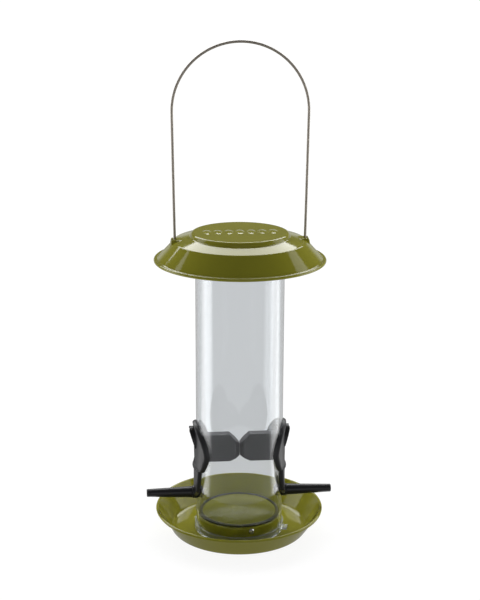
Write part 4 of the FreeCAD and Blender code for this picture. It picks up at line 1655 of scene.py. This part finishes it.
# ------------------------------------------------------------------ studio
# Name, place in metres, width and height in metres, and watts of each light.
SOFTBOXES = (
    ("back_top", (0.0, 1.5, 1.55), (3.2, 1.0), 56.0),
    ("left", (-1.3, 0.4, 0.6), (0.6, 1.2), 6.0),
    ("right", (1.25, 0.15, 0.6), (0.8, 1.2), 7.5),
    ("front", (0.0, -1.7, 0.45), (1.6, 0.8), 3.2),
)


@dataclass
class Studio:
    """Pale floor, soft lights and the camera."""

    floor_half: float = 20.0
    floor_gap: float = 0.0001
    floor_colour: Rgba = (0.92, 0.92, 0.92, 1.0)
    floor_roughness: float = 0.9
    fade_from: float = 0.08
    fade_to: float = 0.16
    fade_start: float = 0.86
    white: float = 1.05
    floor_bounce: float = 0.44
    through_plastic: float = 0.19
    panel: float = 1.9
    panel_turn: float = 0.175
    panel_half: float = 0.30
    panel_edge: float = 0.09
    surround: float = 0.12
    surround_colour: Rgba = (0.96, 0.98, 1.0, 1.0)
    horizon: float = 0.65
    horizon_top: float = 0.20
    horizon_foot: float = 0.08
    azimuth_deg: float = -4.7
    pitch_deg: float = 15.65
    roll_deg: float = 0.23
    distance: float = 1.0316
    lens: float = 78.8
    aim: Triple = (0.0001, 0.0, 0.1932)

    def build_floor(self) -> None:
        """Lay a pale floor under the feeder."""
        mesh = bpy.data.meshes.new("floor")
        corners = np.array([[-1, -1, 0], [1, -1, 0], [1, 1, 0], [-1, 1, 0]]) * self.floor_half
        corners[:, 2] -= self.floor_gap
        mesh.from_pydata(corners.tolist(), [], [(0, 1, 2, 3)])
        floor = bpy.data.objects.new("floor", mesh)
        bpy.context.scene.collection.objects.link(floor)
        mesh.materials.append(self.floor_material())

    def floor_material(self) -> Material:
        """Pale floor: lit near the feeder, fading to white, with two brighter reflected wedges.

        Returns:
            The material.
        """
        made, sketch = new_material("pale_floor")
        where = sketch.place()
        reach = sketch.add("ShaderNodeVectorMath", {0: where}, operation="LENGTH").outputs["Value"]
        fade = sketch.ramp(reach, (self.fade_from, self.fade_to), (self.fade_start, 1.0))
        surface = {"Base Color": self.floor_colour, "Roughness": self.floor_roughness}
        near = sketch.add("ShaderNodeBsdfPrincipled", surface)
        seen = sketch.mix_shaders(fade, near, sketch.light("ShaderNodeEmission", self.white))
        towards = sketch.add("ShaderNodeVectorMath", {0: where}, operation="NORMALIZE").outputs[0]
        along = sketch.add("ShaderNodeSeparateXYZ", {0: towards}).outputs["Y"]
        apart = sketch.math("ABSOLUTE", sketch.math("ADD", along, -self.panel_turn))
        edge = (self.panel_half + self.panel_edge, self.panel_half - self.panel_edge)
        panels = sketch.ramp(apart, edge, (self.floor_bounce, self.floor_bounce + self.panel))
        rays = sketch.add("ShaderNodeLightPath").outputs
        through = rays["Is Transmission Ray"]
        strength = sketch.math("MULTIPLY_ADD", through, self.through_plastic, panels)
        bounce = sketch.light("ShaderNodeEmission", strength)
        sketch.finish(sketch.mix_shaders(rays["Is Camera Ray"], bounce, seen))
        return made

    def build_world(self) -> None:
        """Soft surround: white where it is seen directly, a quieter grey in reflections."""
        world = bpy.data.worlds.new("studio")
        bpy.context.scene.world = world
        world.use_nodes = True
        sketch = Nodes(world.node_tree)
        direction = sketch.add("ShaderNodeTexCoord").outputs["Generated"]
        height = sketch.add("ShaderNodeSeparateXYZ", {0: direction}).outputs["Z"]
        band = (self.horizon_top, self.horizon_foot)
        glow = sketch.ramp(height, band, (self.surround, self.horizon))
        around = sketch.light("ShaderNodeBackground", glow, self.surround_colour)
        direct = sketch.light("ShaderNodeBackground", self.white)
        rays = sketch.add("ShaderNodeLightPath").outputs
        shown = sketch.mix_shaders(rays["Is Camera Ray"], around, direct)
        sketch.finish(shown, "ShaderNodeOutputWorld")

    def softbox(self, name: str, place_m: Triple, size: Span, power: float) -> None:
        """Rectangular soft light that faces the feeder.

        Args:
            name: name of the light.
            place_m: where it stands, in metres.
            size: width and height in metres.
            power: watts.
        """
        data = bpy.data.lights.new(name, "AREA")
        data.shape = "RECTANGLE"
        data.size, data.size_y = size
        data.energy = power
        light = bpy.data.objects.new(name, data)
        light.location = place_m
        towards = Vector(self.aim) - Vector(place_m)
        light.rotation_euler = towards.to_track_quat("-Z", "Y").to_euler()
        bpy.context.scene.collection.objects.link(light)

    def build_camera(self) -> None:
        """Stand the camera in front, a little to the left and looking slightly down."""
        azimuth, pitch = math.radians(self.azimuth_deg), math.radians(self.pitch_deg)
        level = math.cos(pitch)
        back = Vector((math.sin(azimuth) * level, -math.cos(azimuth) * level, math.sin(pitch)))
        data = bpy.data.cameras.new("camera")
        data.lens = self.lens
        camera = bpy.data.objects.new("camera", data)
        camera.location = Vector(self.aim) + back * self.distance
        turn = (-back).to_track_quat("-Z", "Y").to_matrix().to_4x4()
        roll = Matrix.Rotation(math.radians(self.roll_deg), 4, "Z")
        camera.rotation_euler = (turn @ roll).to_euler()
        bpy.context.scene.collection.objects.link(camera)
        bpy.context.scene.camera = camera

    def build(self) -> None:
        """Set everything up."""
        self.build_floor()
        self.build_world()
        for name, place_m, size, power in SOFTBOXES:
            self.softbox(name, place_m, size, power)
        self.build_camera()
        bpy.context.scene.view_settings.view_transform = "Standard"
        log.info("studio ready")


def main() -> None:
    """Build every piece in order."""
    logging.basicConfig(level=logging.INFO, format="%(message)s")
    palette = Palette()
    finish_node("tube", palette.clear)
    finish_node("foot_ring", palette.frosted)
    Lid().build(palette)
    Tray().build(palette)
    BaseDome().build(palette)
    Handle().build(palette)
    for side in Side:
        Port(side).build(palette)
    HubScrews().build(palette)
    Studio().build()


if __name__ == "__main__":
    main()
